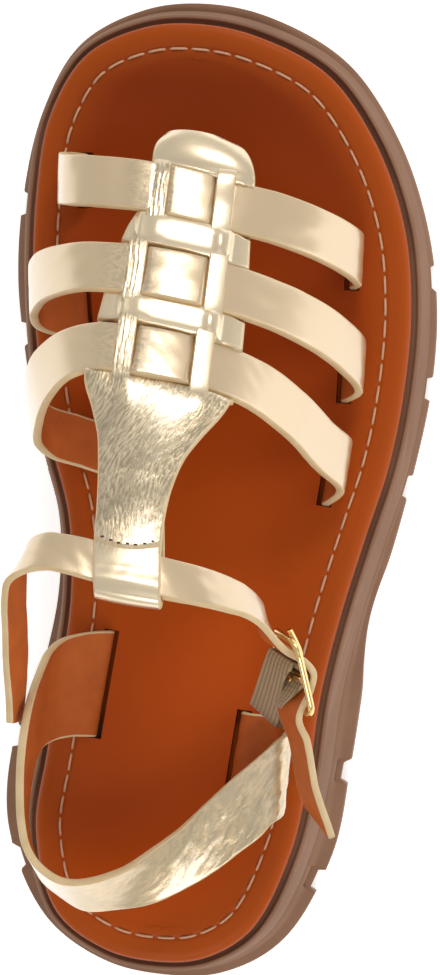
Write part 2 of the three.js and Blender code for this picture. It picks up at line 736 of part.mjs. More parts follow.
// A round rod bent into a closed flat loop, with the given axis square to it.
function loopRod(places, diameter, axis) {
  const sides = 8;
  const count = places.length;
  const points = places.flatMap((place, i) => {
    const forward = places[(i + 1) % count].clone().sub(places[(i + count - 1) % count]).normalize();
    const side = new THREE.Vector3().crossVectors(axis, forward).normalize();
    return Array.from({ length: sides }, (_, k) => {
      const angle = (2 * Math.PI * k) / sides;
      return place.clone()
        .addScaledVector(side, (diameter / 2) * Math.cos(angle))
        .addScaledVector(axis, (diameter / 2) * Math.sin(angle));
    });
  });
  const faces = [];
  for (let i = 0; i < count; i += 1) {
    for (let k = 0; k < sides; k += 1) {
      const a = i * sides + k;
      const b = i * sides + (k + 1) % sides;
      const c = ((i + 1) % count) * sides + (k + 1) % sides;
      const d = ((i + 1) % count) * sides + k;
      faces.push([a, b, c], [a, c, d]);
    }
  }
  return closedMesh(points, faces);
}

function buckleGeometry() {
  const halfLength = (buckleLength - wire) / 2;
  const halfHeight = (buckleHeight - wire) / 2;
  const quarters = [[1, 1], [-1, 1], [-1, -1], [1, -1]];
  const places = quarters.flatMap(([a, u], index) => [0, 0.33, 0.67, 1].map((share) => {
    const angle = (index + share) * Math.PI / 2;
    return atBuckle(
      a * (halfLength - buckleCorner) + buckleCorner * Math.cos(angle),
      u * (halfHeight - buckleCorner) + buckleCorner * Math.sin(angle),
      0,
    );
  }));
  const bar = [atBuckle(0, -halfHeight, 0), atBuckle(0, halfHeight, 0)];
  return toGeometry(toSolid(loopRod(places, wire, buckleOut)).add(toSolid(rod(bar, wire))));
}

// The prong: an open eye round the middle bar, then a pin through the strap to the front bar.
function prongPath() {
  const eye = barRadius + fittingClearance + prongWire / 2;
  const reach = (buckleLength - wire) / 2;
  const around = [-150, -105, -60, -15, 30, 70].map((angle) => {
    const a = THREE.MathUtils.degToRad(angle);
    return atBuckle(eye * Math.cos(a), 0, eye * Math.sin(a));
  });
  const lift = strapOverBar - ankleThickness;
  return [
    ...around,
    atBuckle(-0.15 * reach, 0, lift + 0.1),
    atBuckle(-0.4 * reach, 0, lift + 0.6),
    atBuckle(-0.7 * reach, 0, lift + 0.2),
    atBuckle(-reach, 0, eye + 0.1),
    atBuckle(-reach - wire / 2, 0, eye - 0.1),
  ];
}

// The elastic holder in the buckle's frame, from the lining of the outer quarter to the middle bar: along the
// strap, up its width and out as shares of the buckle's length, then how far its width turns along and out.
const holderUnder = [
  [0.925, -0.835, -0.196, 0.67, 0.30],
  [0.735, -0.700, -0.285, 0.55, 0.30],
  [0.485, -0.510, -0.355, 0.35, 0.20],
  [0.320, -0.265, -0.325, 0.18, 0.10],
  [0.180, -0.100, -0.235, 0.07, 0],
  [0.080, -0.025, -0.155, 0, 0],
];
const holderBack = [
  [0.075, -0.010, 0.070, 0, 0],
  [0.130, -0.020, -0.025, 0, 0],
  [0.200, -0.085, -0.110, 0.05, 0],
  [0.320, -0.265, -0.205, 0.18, 0.10],
  [0.485, -0.510, -0.240, 0.35, 0.20],
  [0.735, -0.700, -0.175, 0.55, 0.30],
  [0.920, -0.825, -0.098, 0.67, 0.30],
];

function holderGeometry() {
  const half = elasticWidth / 2;
  const section = ([along, up, out, turnAlong, turnOut]) => {
    const width = new THREE.Vector3(turnAlong, 1, turnOut).normalize().multiplyScalar(half);
    const end = (side) => atBuckle(
      along * buckleLength + side * width.x,
      up * buckleLength + side * width.y,
      out * buckleLength + side * width.z,
    );
    return { front: end(-1), rear: end(1) };
  };
  const wrap = [-90, -135, -180, -225, -270].map((angle) => {
    const a = THREE.MathUtils.degToRad(angle);
    return section([elasticRadius * Math.cos(a), 0, elasticRadius * Math.sin(a), 0, 0]
      .map((size, i) => (i < 3 ? size / buckleLength : size)));
  });
  const edges = [...holderUnder.map(section), ...wrap, ...holderBack.map(section)];
  return ribbon(edges, { thickness: elasticThickness, columns: 1, samples: 1 });
}

const model = new THREE.Group();

function addPiece(name, geometry, finish) {
  const mesh = new THREE.Mesh(geometry, new THREE.MeshStandardMaterial(finish));
  mesh.name = name;
  model.add(mesh);
}

let footbed = toSolid(footbedGeometry());
for (const edges of crossStraps) {
  footbed = footbed.subtract(toSolid(ribbon(edges, { ...strapSection, grow: slotClearance })));
}
footbed = footbed.subtract(toSolid(ribbon(heelBandEdges, { ...heelBandSection, grow: slotClearance })));

addPiece('outsole', outsoleGeometry(), rubberTaupe);
addPiece('footbed', toGeometry(footbed), leatherTan);
addPiece('vamp', vampGeometry(), leatherGold);
addPiece('heel_strap', ribbon(heelBandEdges, heelBandSection), leatherGold);
const prong = prongPath();
const past = (end, next) => end.clone().sub(next).setLength(2 * fittingClearance).add(end);
const prongLine = [past(prong[0], prong[1]), ...prong, past(prong.at(-1), prong.at(-2))];
const prongRoom = toSolid(rod(prongLine, prongWire + 2 * fittingClearance));
const ankleStrap = toSolid(ribbon(ankleEdges, { thickness: ankleThickness, columns: 1 })).subtract(prongRoom);
addPiece('ankle_strap', toGeometry(ankleStrap), leatherGold);
addPiece('buckle_frame', buckleGeometry(), brassGold);
addPiece('buckle_prong', rod(prong, prongWire), brassGold);
addPiece('buckle_holder', toGeometry(toSolid(holderGeometry()).subtract(prongRoom)), elasticTaupe);

export default model;
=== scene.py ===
import bpy
import numpy as np
from mathutils import Matrix, Vector


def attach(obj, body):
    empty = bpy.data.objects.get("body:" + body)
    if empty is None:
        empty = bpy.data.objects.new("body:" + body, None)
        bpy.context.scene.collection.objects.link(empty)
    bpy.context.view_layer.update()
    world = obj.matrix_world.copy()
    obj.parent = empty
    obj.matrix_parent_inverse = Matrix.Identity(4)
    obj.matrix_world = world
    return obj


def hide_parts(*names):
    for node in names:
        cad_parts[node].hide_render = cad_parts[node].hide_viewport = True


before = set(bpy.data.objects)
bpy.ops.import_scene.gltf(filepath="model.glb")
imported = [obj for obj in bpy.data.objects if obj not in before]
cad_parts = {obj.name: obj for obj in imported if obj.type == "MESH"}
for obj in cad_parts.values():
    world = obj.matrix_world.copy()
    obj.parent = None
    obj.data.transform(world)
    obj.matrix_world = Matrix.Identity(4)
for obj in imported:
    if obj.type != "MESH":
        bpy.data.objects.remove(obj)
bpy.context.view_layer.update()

# Camera: a long lens on a boom over the shoe, looking almost straight down with the toe away from it.
# It hangs a metre off and is rolled a few degrees, so that the sole leans in the picture as it stood.
MILLIMETRE = 0.001
CAMERA_AIM = np.array([4.8, 2.35, 30.0])
CAMERA_DISTANCE = 1000.0
CAMERA_LEAN = np.radians([5.0, 1.5])
CAMERA_ROLL = np.radians(5.0)
SENSOR = 36.0
PICTURE_HEIGHT_AT_AIM = 246.3


def unit(vectors):
    """Each vector divided by its own length."""
    vectors = np.asarray(vectors, float)
    return vectors / np.linalg.norm(vectors, axis=-1, keepdims=True)


def new_object(name, data):
    """An object for the data, placed in the scene."""
    made = bpy.data.objects.new(name, data)
    bpy.context.scene.collection.objects.link(made)
    return made


camera = new_object("camera", bpy.data.cameras.new("camera"))
bpy.context.scene.camera = camera
backward = unit([np.tan(CAMERA_LEAN[0]), np.tan(CAMERA_LEAN[1]), 1.0])
level_up = unit(np.array([0.0, 1.0, 0.0]) - backward[1] * backward)
level_right = np.cross(level_up, backward)
stance = np.eye(4)
stance[:3, 0] = np.cos(CAMERA_ROLL) * level_right + np.sin(CAMERA_ROLL) * level_up
stance[:3, 1] = np.cos(CAMERA_ROLL) * level_up - np.sin(CAMERA_ROLL) * level_right
stance[:3, 2] = backward
stance[:3, 3] = (CAMERA_AIM + backward * CAMERA_DISTANCE) * MILLIMETRE
camera.matrix_world = Matrix(stance.tolist())
camera.data.sensor_width = SENSOR
camera.data.lens = SENSOR * CAMERA_DISTANCE / PICTURE_HEIGHT_AT_AIM
camera.data.clip_start = 0.05
camera.data.clip_end = 20

# Floor and light: a white sweep of matt card that glows faintly. A soft box stands off the toe on the outer
# side and is mirrored in the foil. Wider, fainter sheets hang overhead, off the heel and beside the outer wall
# of the sole, and a bright room, a little brighter on the left, opens the shadows.
FLOOR_SIZE = 6.0
FLOOR_WHITE = "#f6f5f3"
FLOOR_GLOW = 0.55
ROOM_LEFT, ROOM_RIGHT = 0.57, 0.54
# name, place and width in metres, watts
LAMPS = [
    ("key_softbox", (0.12, 0.92, 0.80), 0.36, 4.2),
    ("top_sheet", (0.20, -0.05, 1.25), 0.60, 0.6),
    ("heel_sheet", (0.10, -0.85, 0.80), 0.50, 3.4),
    ("side_sheet", (1.30, 0.05, 0.25), 1.00, 4.6),
]


def linear(hex_code):
    """A finish's colour: each sRGB channel c is c/12.92 below 0.04045, else ((c + 0.055)/1.055)^2.4."""
    c = np.array([int(hex_code[i : i + 2], 16) for i in (1, 3, 5)]) / 255
    return (*np.where(c <= 0.04045, c / 12.92, ((c + 0.055) / 1.055) ** 2.4), 1.0)


def new_finish(name):
    """A finish, bare but for its shader."""
    finish = bpy.data.materials.new(name)
    finish.use_nodes = True
    return finish


def plug(finish, target, inputs):
    """Gives each input of a node a value or links it to another node's output. A text is a hex colour."""
    for key, value in dict(inputs).items():
        if isinstance(value, bpy.types.NodeSocket):
            finish.node_tree.links.new(value, target.inputs[key])
        else:
            target.inputs[key].default_value = linear(value) if isinstance(value, str) else value


def dress(finish, inputs):
    """Plugs the inputs of a finish's own shader."""
    plug(finish, finish.node_tree.nodes["Principled BSDF"], inputs)


def node(finish, kind, output, inputs=(), **settings):
    """Adds one node to a finish: its settings, then its inputs. Gives the output asked for."""
    made = finish.node_tree.nodes.new("ShaderNode" + kind)
    for key, value in settings.items():
        setattr(made, key, value)
    plug(finish, made, inputs)
    return made.outputs[output]


def ranged(finish, value, low, high, start=0.0, end=1.0, **settings):
    """A value that runs from start to end, mapped on to low to high and held there outside."""
    limits = {"From Min": start, "From Max": end, "To Min": low, "To Max": high}
    return node(finish, "MapRange", 0, {"Value": value, **limits}, **settings)


bpy.context.scene.view_settings.view_transform = "Standard"
card = new_finish("matt_white_card")
glow = {"Emission Color": (1, 1, 1, 1), "Emission Strength": FLOOR_GLOW}
dress(card, {"Base Color": FLOOR_WHITE, "Roughness": 0.9, **glow})
floor_mesh = bpy.data.meshes.new("floor")
edge = FLOOR_SIZE / 2
floor_mesh.from_pydata([(-edge, -edge, 0), (edge, -edge, 0), (edge, edge, 0), (-edge, edge, 0)], [], [(0, 1, 2, 3)])
floor_mesh.materials.append(card)
floor = new_object("floor", floor_mesh)
for name, spot_at, width, watts in LAMPS:
    lamp = new_object(name, bpy.data.lights.new(name, "AREA"))
    lamp.data.shape = "SQUARE"
    lamp.data.size = width
    lamp.data.energy = watts
    lamp.location = spot_at
    lamp.rotation_euler = (-Vector(spot_at)).to_track_quat("-Z", "Y").to_euler()
room = bpy.data.worlds.new("bright_room")
bpy.context.scene.world = room
room.use_nodes = True
to_right = node(room, "SeparateXYZ", "X", {"Vector": node(room, "TexCoord", "Generated")})
brightness = ranged(room, to_right, ROOM_LEFT, ROOM_RIGHT, -0.8, 0.8)
plug(room, room.node_tree.nodes["Background"], {"Color": (1, 1, 1, 1), "Strength": brightness})

# Outsole: one moulding of foamed taupe rubber, cast upside down in a two-part mould. Its side wall flares
# to a rim of lugs, with a ribbed band over a groove; the tread channels run out through the rim.
FOOTBED_LENGTH = 236.0
BALL_WIDTH = 98.0
FOOTBED_THICKNESS = 7.0
HEEL_HEIGHT = 38.0
BALL_HEIGHT = 29.0
TOE_RISE = 7.0
TOE_SPRING = 8.0
SOLE_FLARE = 6.0
WELT_REACH = 4.4
BAND_GROOVE = 0.9
BAND_GROOVE_HEIGHT = 1.6
LIP_HEIGHT = 1.6
SEAT_GROOVE = 1.3
RIM_HEIGHT = 8.5
LUG_DEPTH = 4.5
CHANNEL_WIDTH = 5.4
SIDE_NOTCH_DEPTH = 1.8
NOTCH_REACH = 4.0
CENTRE_CHANNEL_WIDTH = 4.0
CENTRE_CHANNEL_DEPTH = 4.0
ARCH_RISE = 5.0
ARCH = (0.305, 0.437)
CENTRE_CHANNEL = (0.05, 0.93)
CHANNELS = [(0.777, -0.10), (0.647, -0.05), (0.527, 0.0), (0.212, 0.0), (0.092, 0.02)]
GAP = 0.3
RIB_PITCH = 1.5
RIB_HEIGHT = 0.16
OUTLINE_FINENESS = 34
TREAD_LINES = 64
HIDDEN_LINES = 6


def table(text):
    """The numbers of a table, one row a line."""
    return np.array([row.split() for row in text.strip().split("\n")], float)


# along, inner and outer as shares, then the flare's share on each side
PLAN = table("""
0.008 -0.140 0.115 1.25 1.30
0.043 -0.272 0.232 1.35 1.42
0.128 -0.343 0.316 1.88 1.55
0.212 -0.332 0.345 2.05 1.45
0.297 -0.316 0.357 1.33 1.48
0.382 -0.309 0.388 1.05 1.05
0.467 -0.337 0.432 0.90 1.08
0.551 -0.409 0.478 0.88 0.92
0.636 -0.457 0.499 0.97 0.98
0.721 -0.487 0.497 1.10 0.95
0.806 -0.496 0.461 1.02 0.85
0.890 -0.476 0.371 0.84 0.90
0.958 -0.392 0.234 0.95 1.00
0.992 -0.245 0.045 1.06 1.12
""")
# across, along and the flare's share
HEEL_TIP = (-0.010, 0.0, 1.22)
TOE_TIP = (-0.105, 1.0, 1.13)


def y_of(along):
    """Place along the shoe: (share - 1/2) times the footbed's length."""
    return (np.asarray(along, float) - 0.5) * FOOTBED_LENGTH


def footbed_top(y):
    """Height of the footbed's edge: heel height, eased down by a cubic step to the ball, plus a square-law
    rise over the last quarter to the tip."""
    along = np.asarray(y, float) / FOOTBED_LENGTH + 0.5
    s = np.clip((along - 0.203) / 0.445, 0, 1)
    tip = np.maximum(0, (along - 0.733) / 0.267)
    return HEEL_HEIGHT - (HEEL_HEIGHT - BALL_HEIGHT) * s * s * (3 - 2 * s) + TOE_RISE * tip**2


def ground_line(y):
    """Toe spring: the square of the share past the last quarter, times the spring."""
    tip = np.maximum(0, (np.asarray(y, float) / FOOTBED_LENGTH + 0.5 - 0.765) / 0.235)
    return TOE_SPRING * tip**2


def flowing(places, per, closed=False):
    """Smooth line through the places: each span is a cubic whose end slopes weigh the neighbouring chords
    by the square roots of their lengths. It takes `per` points a span."""
    places = np.asarray(places, float)
    if closed:
        p = np.vstack([places[-1], places, places[:2]])
    else:
        p = np.vstack([2 * places[0] - places[1], places, 2 * places[-1] - places[-2]])
    p0, p1, p2, p3 = p[:-3], p[1:-2], p[2:-1], p[3:]
    d0, d1, d2 = (np.sqrt(np.linalg.norm(b - a, axis=1))[:, None] for a, b in ((p0, p1), (p1, p2), (p2, p3)))
    m1 = ((p1 - p0) / d0 - (p2 - p0) / (d0 + d1) + (p2 - p1) / d1) * d1
    m2 = ((p2 - p1) / d1 - (p3 - p1) / (d1 + d2) + (p3 - p2) / d2) * d1
    t = (np.arange(per) / per)[None, :, None]
    p1, p2, m1, m2 = (a[:, None] for a in (p1, p2, m1, m2))
    line = p1 + m1 * t + (3 * (p2 - p1) - 2 * m1 - m2) * t**2 + (2 * (p1 - p2) + m1 + m2) * t**3
    line = line.reshape(-1, places.shape[1])
    return line if closed else np.vstack([line, places[-1]])


def footbed_outline(per):
    """Points round the footbed from the heel by the outer side, the outward direction at each, and the flare."""
    across, along, reach = np.vstack([HEEL_TIP, PLAN[:, [2, 0, 4]], TOE_TIP, PLAN[::-1, [1, 0, 3]]]).T
    places = np.column_stack([across * BALL_WIDTH, y_of(along), reach * SOLE_FLARE])
    line = flowing(places, per, closed=True)
    tangent = unit(np.roll(line, -1, axis=0)[:, :2] - np.roll(line, 1, axis=0)[:, :2])
    return line[:, :2], np.column_stack([tangent[:, 1], -tangent[:, 0]]), line[:, 2]


def grid_faces(rows, columns):
    """Quads of a grid of points kept row by row, the last column joined to the first."""
    near = np.arange(rows - 1)[:, None] * columns
    j = np.arange(columns)[None, :]
    k = (j + 1) % columns
    far = near + columns
    return np.stack([near + j, near + k, far + k, far + j], axis=-1).reshape(-1, 4)


def add_piece(name, part, finishes, node_name=None):
    """Makes a piece from its part and lets it ride on the shoe, for its CAD node if it has one. A part is its
    points in millimetres and its quads, and for a strip also the finish of each quad and each point's place on
    the strip in metres. A quad with two corners in one becomes a triangle."""
    points, faces, *marks = part
    kept = faces != np.roll(faces, 1, axis=1)
    mesh = bpy.data.meshes.new(name)
    mesh.vertices.add(len(points))
    mesh.vertices.foreach_set("co", (np.asarray(points) * MILLIMETRE).astype(np.float32).ravel())
    sides = kept.sum(axis=1)
    corners = faces[kept]
    mesh.loops.add(len(corners))
    mesh.loops.foreach_set("vertex_index", corners.astype(np.int32))
    mesh.polygons.add(len(faces))
    mesh.polygons.foreach_set("loop_start", np.concatenate([[0], np.cumsum(sides)[:-1]]).astype(np.int32))
    mesh.polygons.foreach_set("loop_total", sides.astype(np.int32))
    if len(finishes) > 1:
        mesh.polygons.foreach_set("material_index", marks[0].astype(np.int32))
    if marks:
        layer = mesh.uv_layers.new(name="strip")
        layer.data.foreach_set("uv", marks[1].astype(np.float32)[corners].ravel())
    for finish in finishes:
        mesh.materials.append(finish)
    mesh.update(calc_edges=True)
    mesh.validate()
    mesh.shade_smooth()
    piece = new_object(name, mesh)
    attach(piece, "root")
    if node_name:
        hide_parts(node_name)
    return piece


def step(x, edge, width):
    """Cubic step from 0 to 1 over the given width about the edge."""
    s = np.clip((x - edge) / width + 0.5, 0, 1)
    return s * s * (3 - 2 * s)


def in_channel(x, y):
    """1 in a tread channel, 0 on a lug: a pair of steps either side of each channel's middle line."""
    share = np.zeros(np.broadcast(x, y).shape)
    for along, turn in CHANNELS:
        off = (y - y_of(along)) * np.cos(turn) - x * np.sin(turn)
        share = np.maximum(share, 1 - step(np.abs(off), CHANNEL_WIDTH / 2, 0.5))
    return share


def tread_height(x, y):
    """Height of the underside: ground line plus the deepest of channel, centre channel and arch."""
    arch = np.clip(np.minimum(y - y_of(ARCH[0]), y_of(ARCH[1]) - y), 0, ARCH_RISE)
    centre = (1 - step(np.abs(x), CENTRE_CHANNEL_WIDTH / 2, 0.4)) * (y > y_of(CENTRE_CHANNEL[0]))
    centre = centre * (y < y_of(CENTRE_CHANNEL[1])) * CENTRE_CHANNEL_DEPTH
    depth = np.maximum(np.maximum(in_channel(x, y) * LUG_DEPTH, centre), arch)
    return ground_line(y) + depth


def cross_grid(ring, lines, height, start, first, up):
    """Closes an outline by rows of points from its outer to its inner side, on lines at even shares of the way,
    at the given height. Gives the new points and the quads."""
    half_count = len(ring) // 2
    i = np.arange(1, half_count)
    outer, inner = ring[i], ring[-i]
    inside = np.linspace(0, 1, lines)[1:-1]
    xy = outer[:, None, :2] * (1 - inside)[None, :, None] + inner[:, None, :2] * inside[None, :, None]
    z = height(xy[..., 0], xy[..., 1], np.broadcast_to(inside, xy.shape[:2]), i[:, None] / half_count)
    points = np.concatenate([xy, z[..., None]], axis=-1).reshape(-1, 3)
    body = first + np.arange(len(points)).reshape(len(i), len(inside))
    rows = np.hstack([(start + i)[:, None], body, (start + len(ring) - i)[:, None]])
    rows = np.vstack([np.full(rows.shape[1], start), rows, np.full(rows.shape[1], start + half_count)])
    quads = np.stack([rows[:-1, :-1], rows[1:, :-1], rows[1:, 1:], rows[:-1, 1:]], axis=-1).reshape(-1, 4)
    return points, quads if up else quads[:, ::-1]


def closed_body(rings, *lids):
    """Closes a wall of rings. Each lid names its ring, 0 or -1, its number of lines and its height. Gives the
    points of the wall and of each lid, and all the quads."""
    count = rings.shape[1]
    points, quads = [rings.reshape(-1, 3)], [grid_faces(len(rings), count)]
    for at, lines, height in lids:
        start = at % len(rings) * count
        lid, lid_quads = cross_grid(rings[at], lines, height, start, sum(map(len, points)), at != 0)
        points.append(lid)
        quads.append(lid_quads)
    return points, np.vstack(quads)


def seat_height(y):
    """Top of the outsole: the footbed's top less its thickness and the glue gap."""
    return footbed_top(y) - FOOTBED_THICKNESS - GAP


def outsole_rings(per):
    """Wall of the outsole, from the ground up. Its rows are a table of reach and height, each span split in
    steps. The lower rows rise to the tread's height, notches push the rim in, and fine ribs ride on the upper
    band as sin(2 pi height / pitch)."""
    line, outward, flare = footbed_outline(per)
    # share of flare, reach, share of wall, height, steps to the next row
    wall = np.array([
        [1, -1.3, 0, 0, 1],
        [1, -0.5, 0, 0.35, 1],
        [1, 0, 0, 1.2, 3],
        [1, 0, 0, RIM_HEIGHT - 1.2, 1],
        [0.97, 0, 0, RIM_HEIGHT - 0.55, 1],
        [0.45, 0.55 * WELT_REACH, 0, RIM_HEIGHT, 2],
        [0, WELT_REACH, 0.5, -BAND_GROOVE_HEIGHT, 1],
        [0, WELT_REACH - BAND_GROOVE, 0.5, -0.75 * BAND_GROOVE_HEIGHT, 1],
        [0, WELT_REACH - BAND_GROOVE, 0.5, -0.25 * BAND_GROOVE_HEIGHT, 1],
        [0, WELT_REACH, 0.5, 0, 22],
        [0, 0.55 * WELT_REACH, 1, 0.75 * LIP_HEIGHT, 1],
        [0, 0.44 * WELT_REACH, 1, 0.95 * LIP_HEIGHT, 1],
        [0, SEAT_GROOVE + 0.3, 1, LIP_HEIGHT, 1],
        [0, SEAT_GROOVE, 1, 0.4, 1],
        [0, SEAT_GROOVE - 0.5, 1, 0, 1],
        [0, -2, 1, 0, 0],
    ])
    rows = np.vstack([
        [a[:4] + (b[:4] - a[:4]) * k / a[4] for k in range(int(a[4]))] for a, b in zip(wall[:-1], wall[1:])
    ] + [wall[-1:, :4]])
    ribbed = np.zeros(len(rows))
    upper = (rows[:, 0] == 0) & (rows[:, 2] >= 0.5) & (rows[:, 3] >= 0)
    band = np.flatnonzero(upper & (rows[:, 1] > 0.56 * WELT_REACH))
    ribbed[band] = np.linspace(0, 1, len(band))
    x, y = (line + outward * NOTCH_REACH).T[:, None]
    notch = in_channel(x, y) * SIDE_NOTCH_DEPTH
    low = (rows[:, 2:3] == 0) & (rows[:, 3:4] < RIM_HEIGHT + 0.1)
    span = seat_height(line[None, :, 1]) - ground_line(line[None, :, 1])
    turns = np.sin(ribbed[:, None] * span * 0.5 / RIB_PITCH * 2 * np.pi) * (ribbed[:, None] > 0) * RIB_HEIGHT
    reach = rows[:, :1] * flare[None] + rows[:, 1:2] - np.where(low, notch, 0) + turns
    xy = line[None] + outward[None] * reach[..., None]
    base = ground_line(xy[..., 1])
    span = seat_height(xy[..., 1]) - base
    height = rows[:, 2:3] * span + rows[:, 3:4]
    lifted = tread_height(xy[..., 0], xy[..., 1]) - base
    lifted = np.maximum(lifted, in_channel(x, y) * LUG_DEPTH)
    height = np.where(low, lifted + height * (1 - lifted / RIM_HEIGHT), height)
    return np.concatenate([xy, (base + height)[..., None]], axis=-1)


def noise(finish, at, size, detail=2.0):
    """A cloudy pattern with cells of the given size in millimetres."""
    return node(finish, "TexNoise", "Fac", {"Vector": at, "Scale": 1 / (size * MILLIMETRE), "Detail": detail})


def cells(finish, at, size):
    """Distance from the middles of cells of the given size in millimetres."""
    return node(finish, "TexVoronoi", "Distance", {"Vector": at, "Scale": 1 / (size * MILLIMETRE)})


def blend(finish, share, low, high):
    """A colour that goes from low to high with the share."""
    return node(finish, "Mix", 2, {0: share, 6: low, 7: high}, data_type="RGBA")


def bump(finish, height, strength, depth, below=None):
    """A relief of the given depth in metres, on top of another relief if one is given."""
    under = {} if below is None else {"Normal": below}
    return node(finish, "Bump", 0, {"Height": height, "Strength": strength, "Distance": depth, **under})


# Foamed rubber straight from the mould: matt and a little dusty. The fine grit of the spark-eroded mould (0.4 mm)
# breaks up its gloss. Clouds of 22 mm come from the foaming.
rubber = new_finish("moulded_rubber_taupe")
at = node(rubber, "TexCoord", "Object")
grit = noise(rubber, at, 0.4)
dress(rubber, {
    "Base Color": blend(rubber, noise(rubber, at, 1000 / 45, 4.0), "#775440", "#98735a"),
    "Roughness": ranged(rubber, grit, 0.5, 0.75),
    "Normal": bump(rubber, grit, 0.35, 0.12 * MILLIMETRE),
    "Specular IOR Level": 0.15,
})
points, quads = closed_body(
    outsole_rings(OUTLINE_FINENESS),
    (0, TREAD_LINES, lambda x, y, share, turn: tread_height(x, y)),
    (-1, HIDDEN_LINES, lambda x, y, share, turn: seat_height(y)),
)
add_piece("outsole_moulding", (np.vstack(points), quads), [rubber], "outsole")

# Footbed: a board covered in smooth waxed tan leather, its upper edge rolled; its sheen is painted on as a paler
# rim.
# A shallow channel runs round it for the stitches. The slots for the straps are punched further on.
EDGE_ROUND = 2.4
FOOTBED_CUP = 1.2
STITCH_LINE = 6.4
STITCH_CHANNEL_DEPTH = 0.3
STITCH_CHANNEL_WIDTH = 1.9
LID_REACH = 2.4 * EDGE_ROUND
LID_EDGE = 9.0
LID_LINES = 40
LID_DROP = 0.15
FOOTBED_FINENESS = 24


def footbed_dish(share, turn):
    """Dip of the footbed: the cup times (1 - (2 share - 1)^4), faded out towards heel and toe."""
    fade = np.minimum(1, 4 * np.minimum(turn, 1 - turn))
    return FOOTBED_CUP * fade * (1 - (2 * share - 1) ** 4)


def footbed_rings(per):
    """Edge of the footbed: up the wall, over the rolled corner as an ellipse, then in across the stitch channel,
    where the depth is a cosine trough about the stitch line. Gives the rings, the width of the footbed at each
    place round them, and how far in each ring lies."""
    line, outward, flare = footbed_outline(per)
    corner = np.linspace(0, np.pi / 2, 9)
    rows = [(-0.8, FOOTBED_THICKNESS), (-0.2, FOOTBED_THICKNESS - 0.5), (0, FOOTBED_THICKNESS - 1.2)]
    rows += [(0, EDGE_ROUND + 1.5)]
    rows += [(-1.25 * EDGE_ROUND * (1 - np.cos(a)), EDGE_ROUND * (1 - np.sin(a))) for a in corner]
    rows += [(-reach, LID_DROP * (reach - 3) / 2.8) for reach in (4.0, 4.9, 5.3)]
    inner = np.concatenate([STITCH_LINE + np.linspace(-1, 1, 9) * STITCH_CHANNEL_WIDTH / 2, [8.0, LID_EDGE]])
    rows = np.array(rows + [(-reach, LID_DROP) for reach in inner])
    xy = line[None] + outward[None] * rows[:, :1, None]
    half_count = len(line) // 2
    i = np.minimum(np.arange(len(line)), len(line) - np.arange(len(line)))
    chord = np.linalg.norm(xy[12, i] - xy[12, -i], axis=-1) + 1e-6
    share = np.clip((-rows[:, :1] - LID_REACH) / chord[None], 0, 0.5)
    off = (-rows[:, :1] - STITCH_LINE) / (STITCH_CHANNEL_WIDTH / 2)
    channel = STITCH_CHANNEL_DEPTH * 0.5 * (1 + np.cos(np.pi * np.clip(off, -1, 1)))
    z = footbed_top(xy[..., 1]) - rows[:, 1:2] - channel - footbed_dish(share, (i / half_count)[None])
    return np.concatenate([xy, z[..., None]], axis=-1), chord, -rows[:, 0]


board, chord, footbed_reach = footbed_rings(FOOTBED_FINENESS)
count = board.shape[1]
first_share = (LID_EDGE - LID_REACH) / np.maximum(chord, 1)


def footbed_height(x, y, share, turn):
    """The dish between the inmost rings, with share measured from where the lid starts."""
    start = np.interp(turn, np.arange(count // 2 + 1) / (count // 2), first_share[: count // 2 + 1])
    start = np.clip(start, 0, 0.5)
    return footbed_top(y) - LID_DROP - footbed_dish(start + share * (1 - 2 * start), turn)


def footbed_base(x, y, share, turn):
    """The underside, the board's thickness below the top."""
    return footbed_top(y) - FOOTBED_THICKNESS


(wall, lid, under), quads = closed_body(board, (-1, LID_LINES, footbed_height), (0, HIDDEN_LINES, footbed_base))

# Waxed calf, pulled tight over the board: orange-brown in clouds of 62 mm, darker towards the toe, with a paler rim
# as painted sheen of the rolled edge and a darker middle as painted shade of the dish. Pores of about 0.5 mm only
# show in the gloss.
calf = new_finish("waxed_leather_tan")
at = node(calf, "TexCoord", "Object")
cloud = noise(calf, at, 62.5, 3.0)
from_edge = node(calf, "SeparateXYZ", "X", {"Vector": node(calf, "UVMap", "UV", uv_map="strip")})
# Painted sheen and shade: the rim's paler colour fades over 16 mm into the darker middle.
inward = ranged(calf, from_edge, 0, 1, end=16 * MILLIMETRE, interpolation_type="SMOOTHSTEP")
# Darker towards the toe, from the middle of the shoe to 100 mm forward of it.
toeward = ranged(calf, node(calf, "SeparateXYZ", "Y", {"Vector": at}), 0, 1, end=100 * MILLIMETRE)
inner_tone = blend(calf, toeward, blend(calf, cloud, "#a04108", "#bd4e0e"), "#883206")
dress(calf, {
    "Base Color": blend(calf, inward, "#a34710", inner_tone),
    "Roughness": ranged(calf, cloud, 0.36, 0.5),
    "Normal": bump(calf, cells(calf, at, 0.55), 0.15, 0.08 * MILLIMETRE),
    "Specular IOR Level": 0.1,
})

# How far each point lies from the rim goes into its place on the strip, for the rim's painted sheen and the middle's
# painted shade.
side = np.arange(1, count // 2)
breadth = np.linalg.norm(board[-1, side, :2] - board[-1, -side, :2], axis=1)
shares = np.linspace(0, 1, LID_LINES)[1:-1]
from_side = (np.minimum(shares, 1 - shares)[None] * breadth[:, None]).ravel()
from_tips = np.minimum(board[-1, :, 1].max() - lid[:, 1], lid[:, 1] - board[-1, :, 1].min())
from_rim = LID_EDGE + np.minimum(from_side, from_tips)
from_rim = np.concatenate([np.repeat(footbed_reach, count), from_rim, np.zeros(len(under))])
sheen_and_shade_place = np.column_stack([from_rim, 0 * from_rim]) * MILLIMETRE
cover = np.vstack([wall, lid, under]), quads, None, sheen_and_shade_place
footbed = add_piece("footbed_cover", cover, [calf], "footbed")

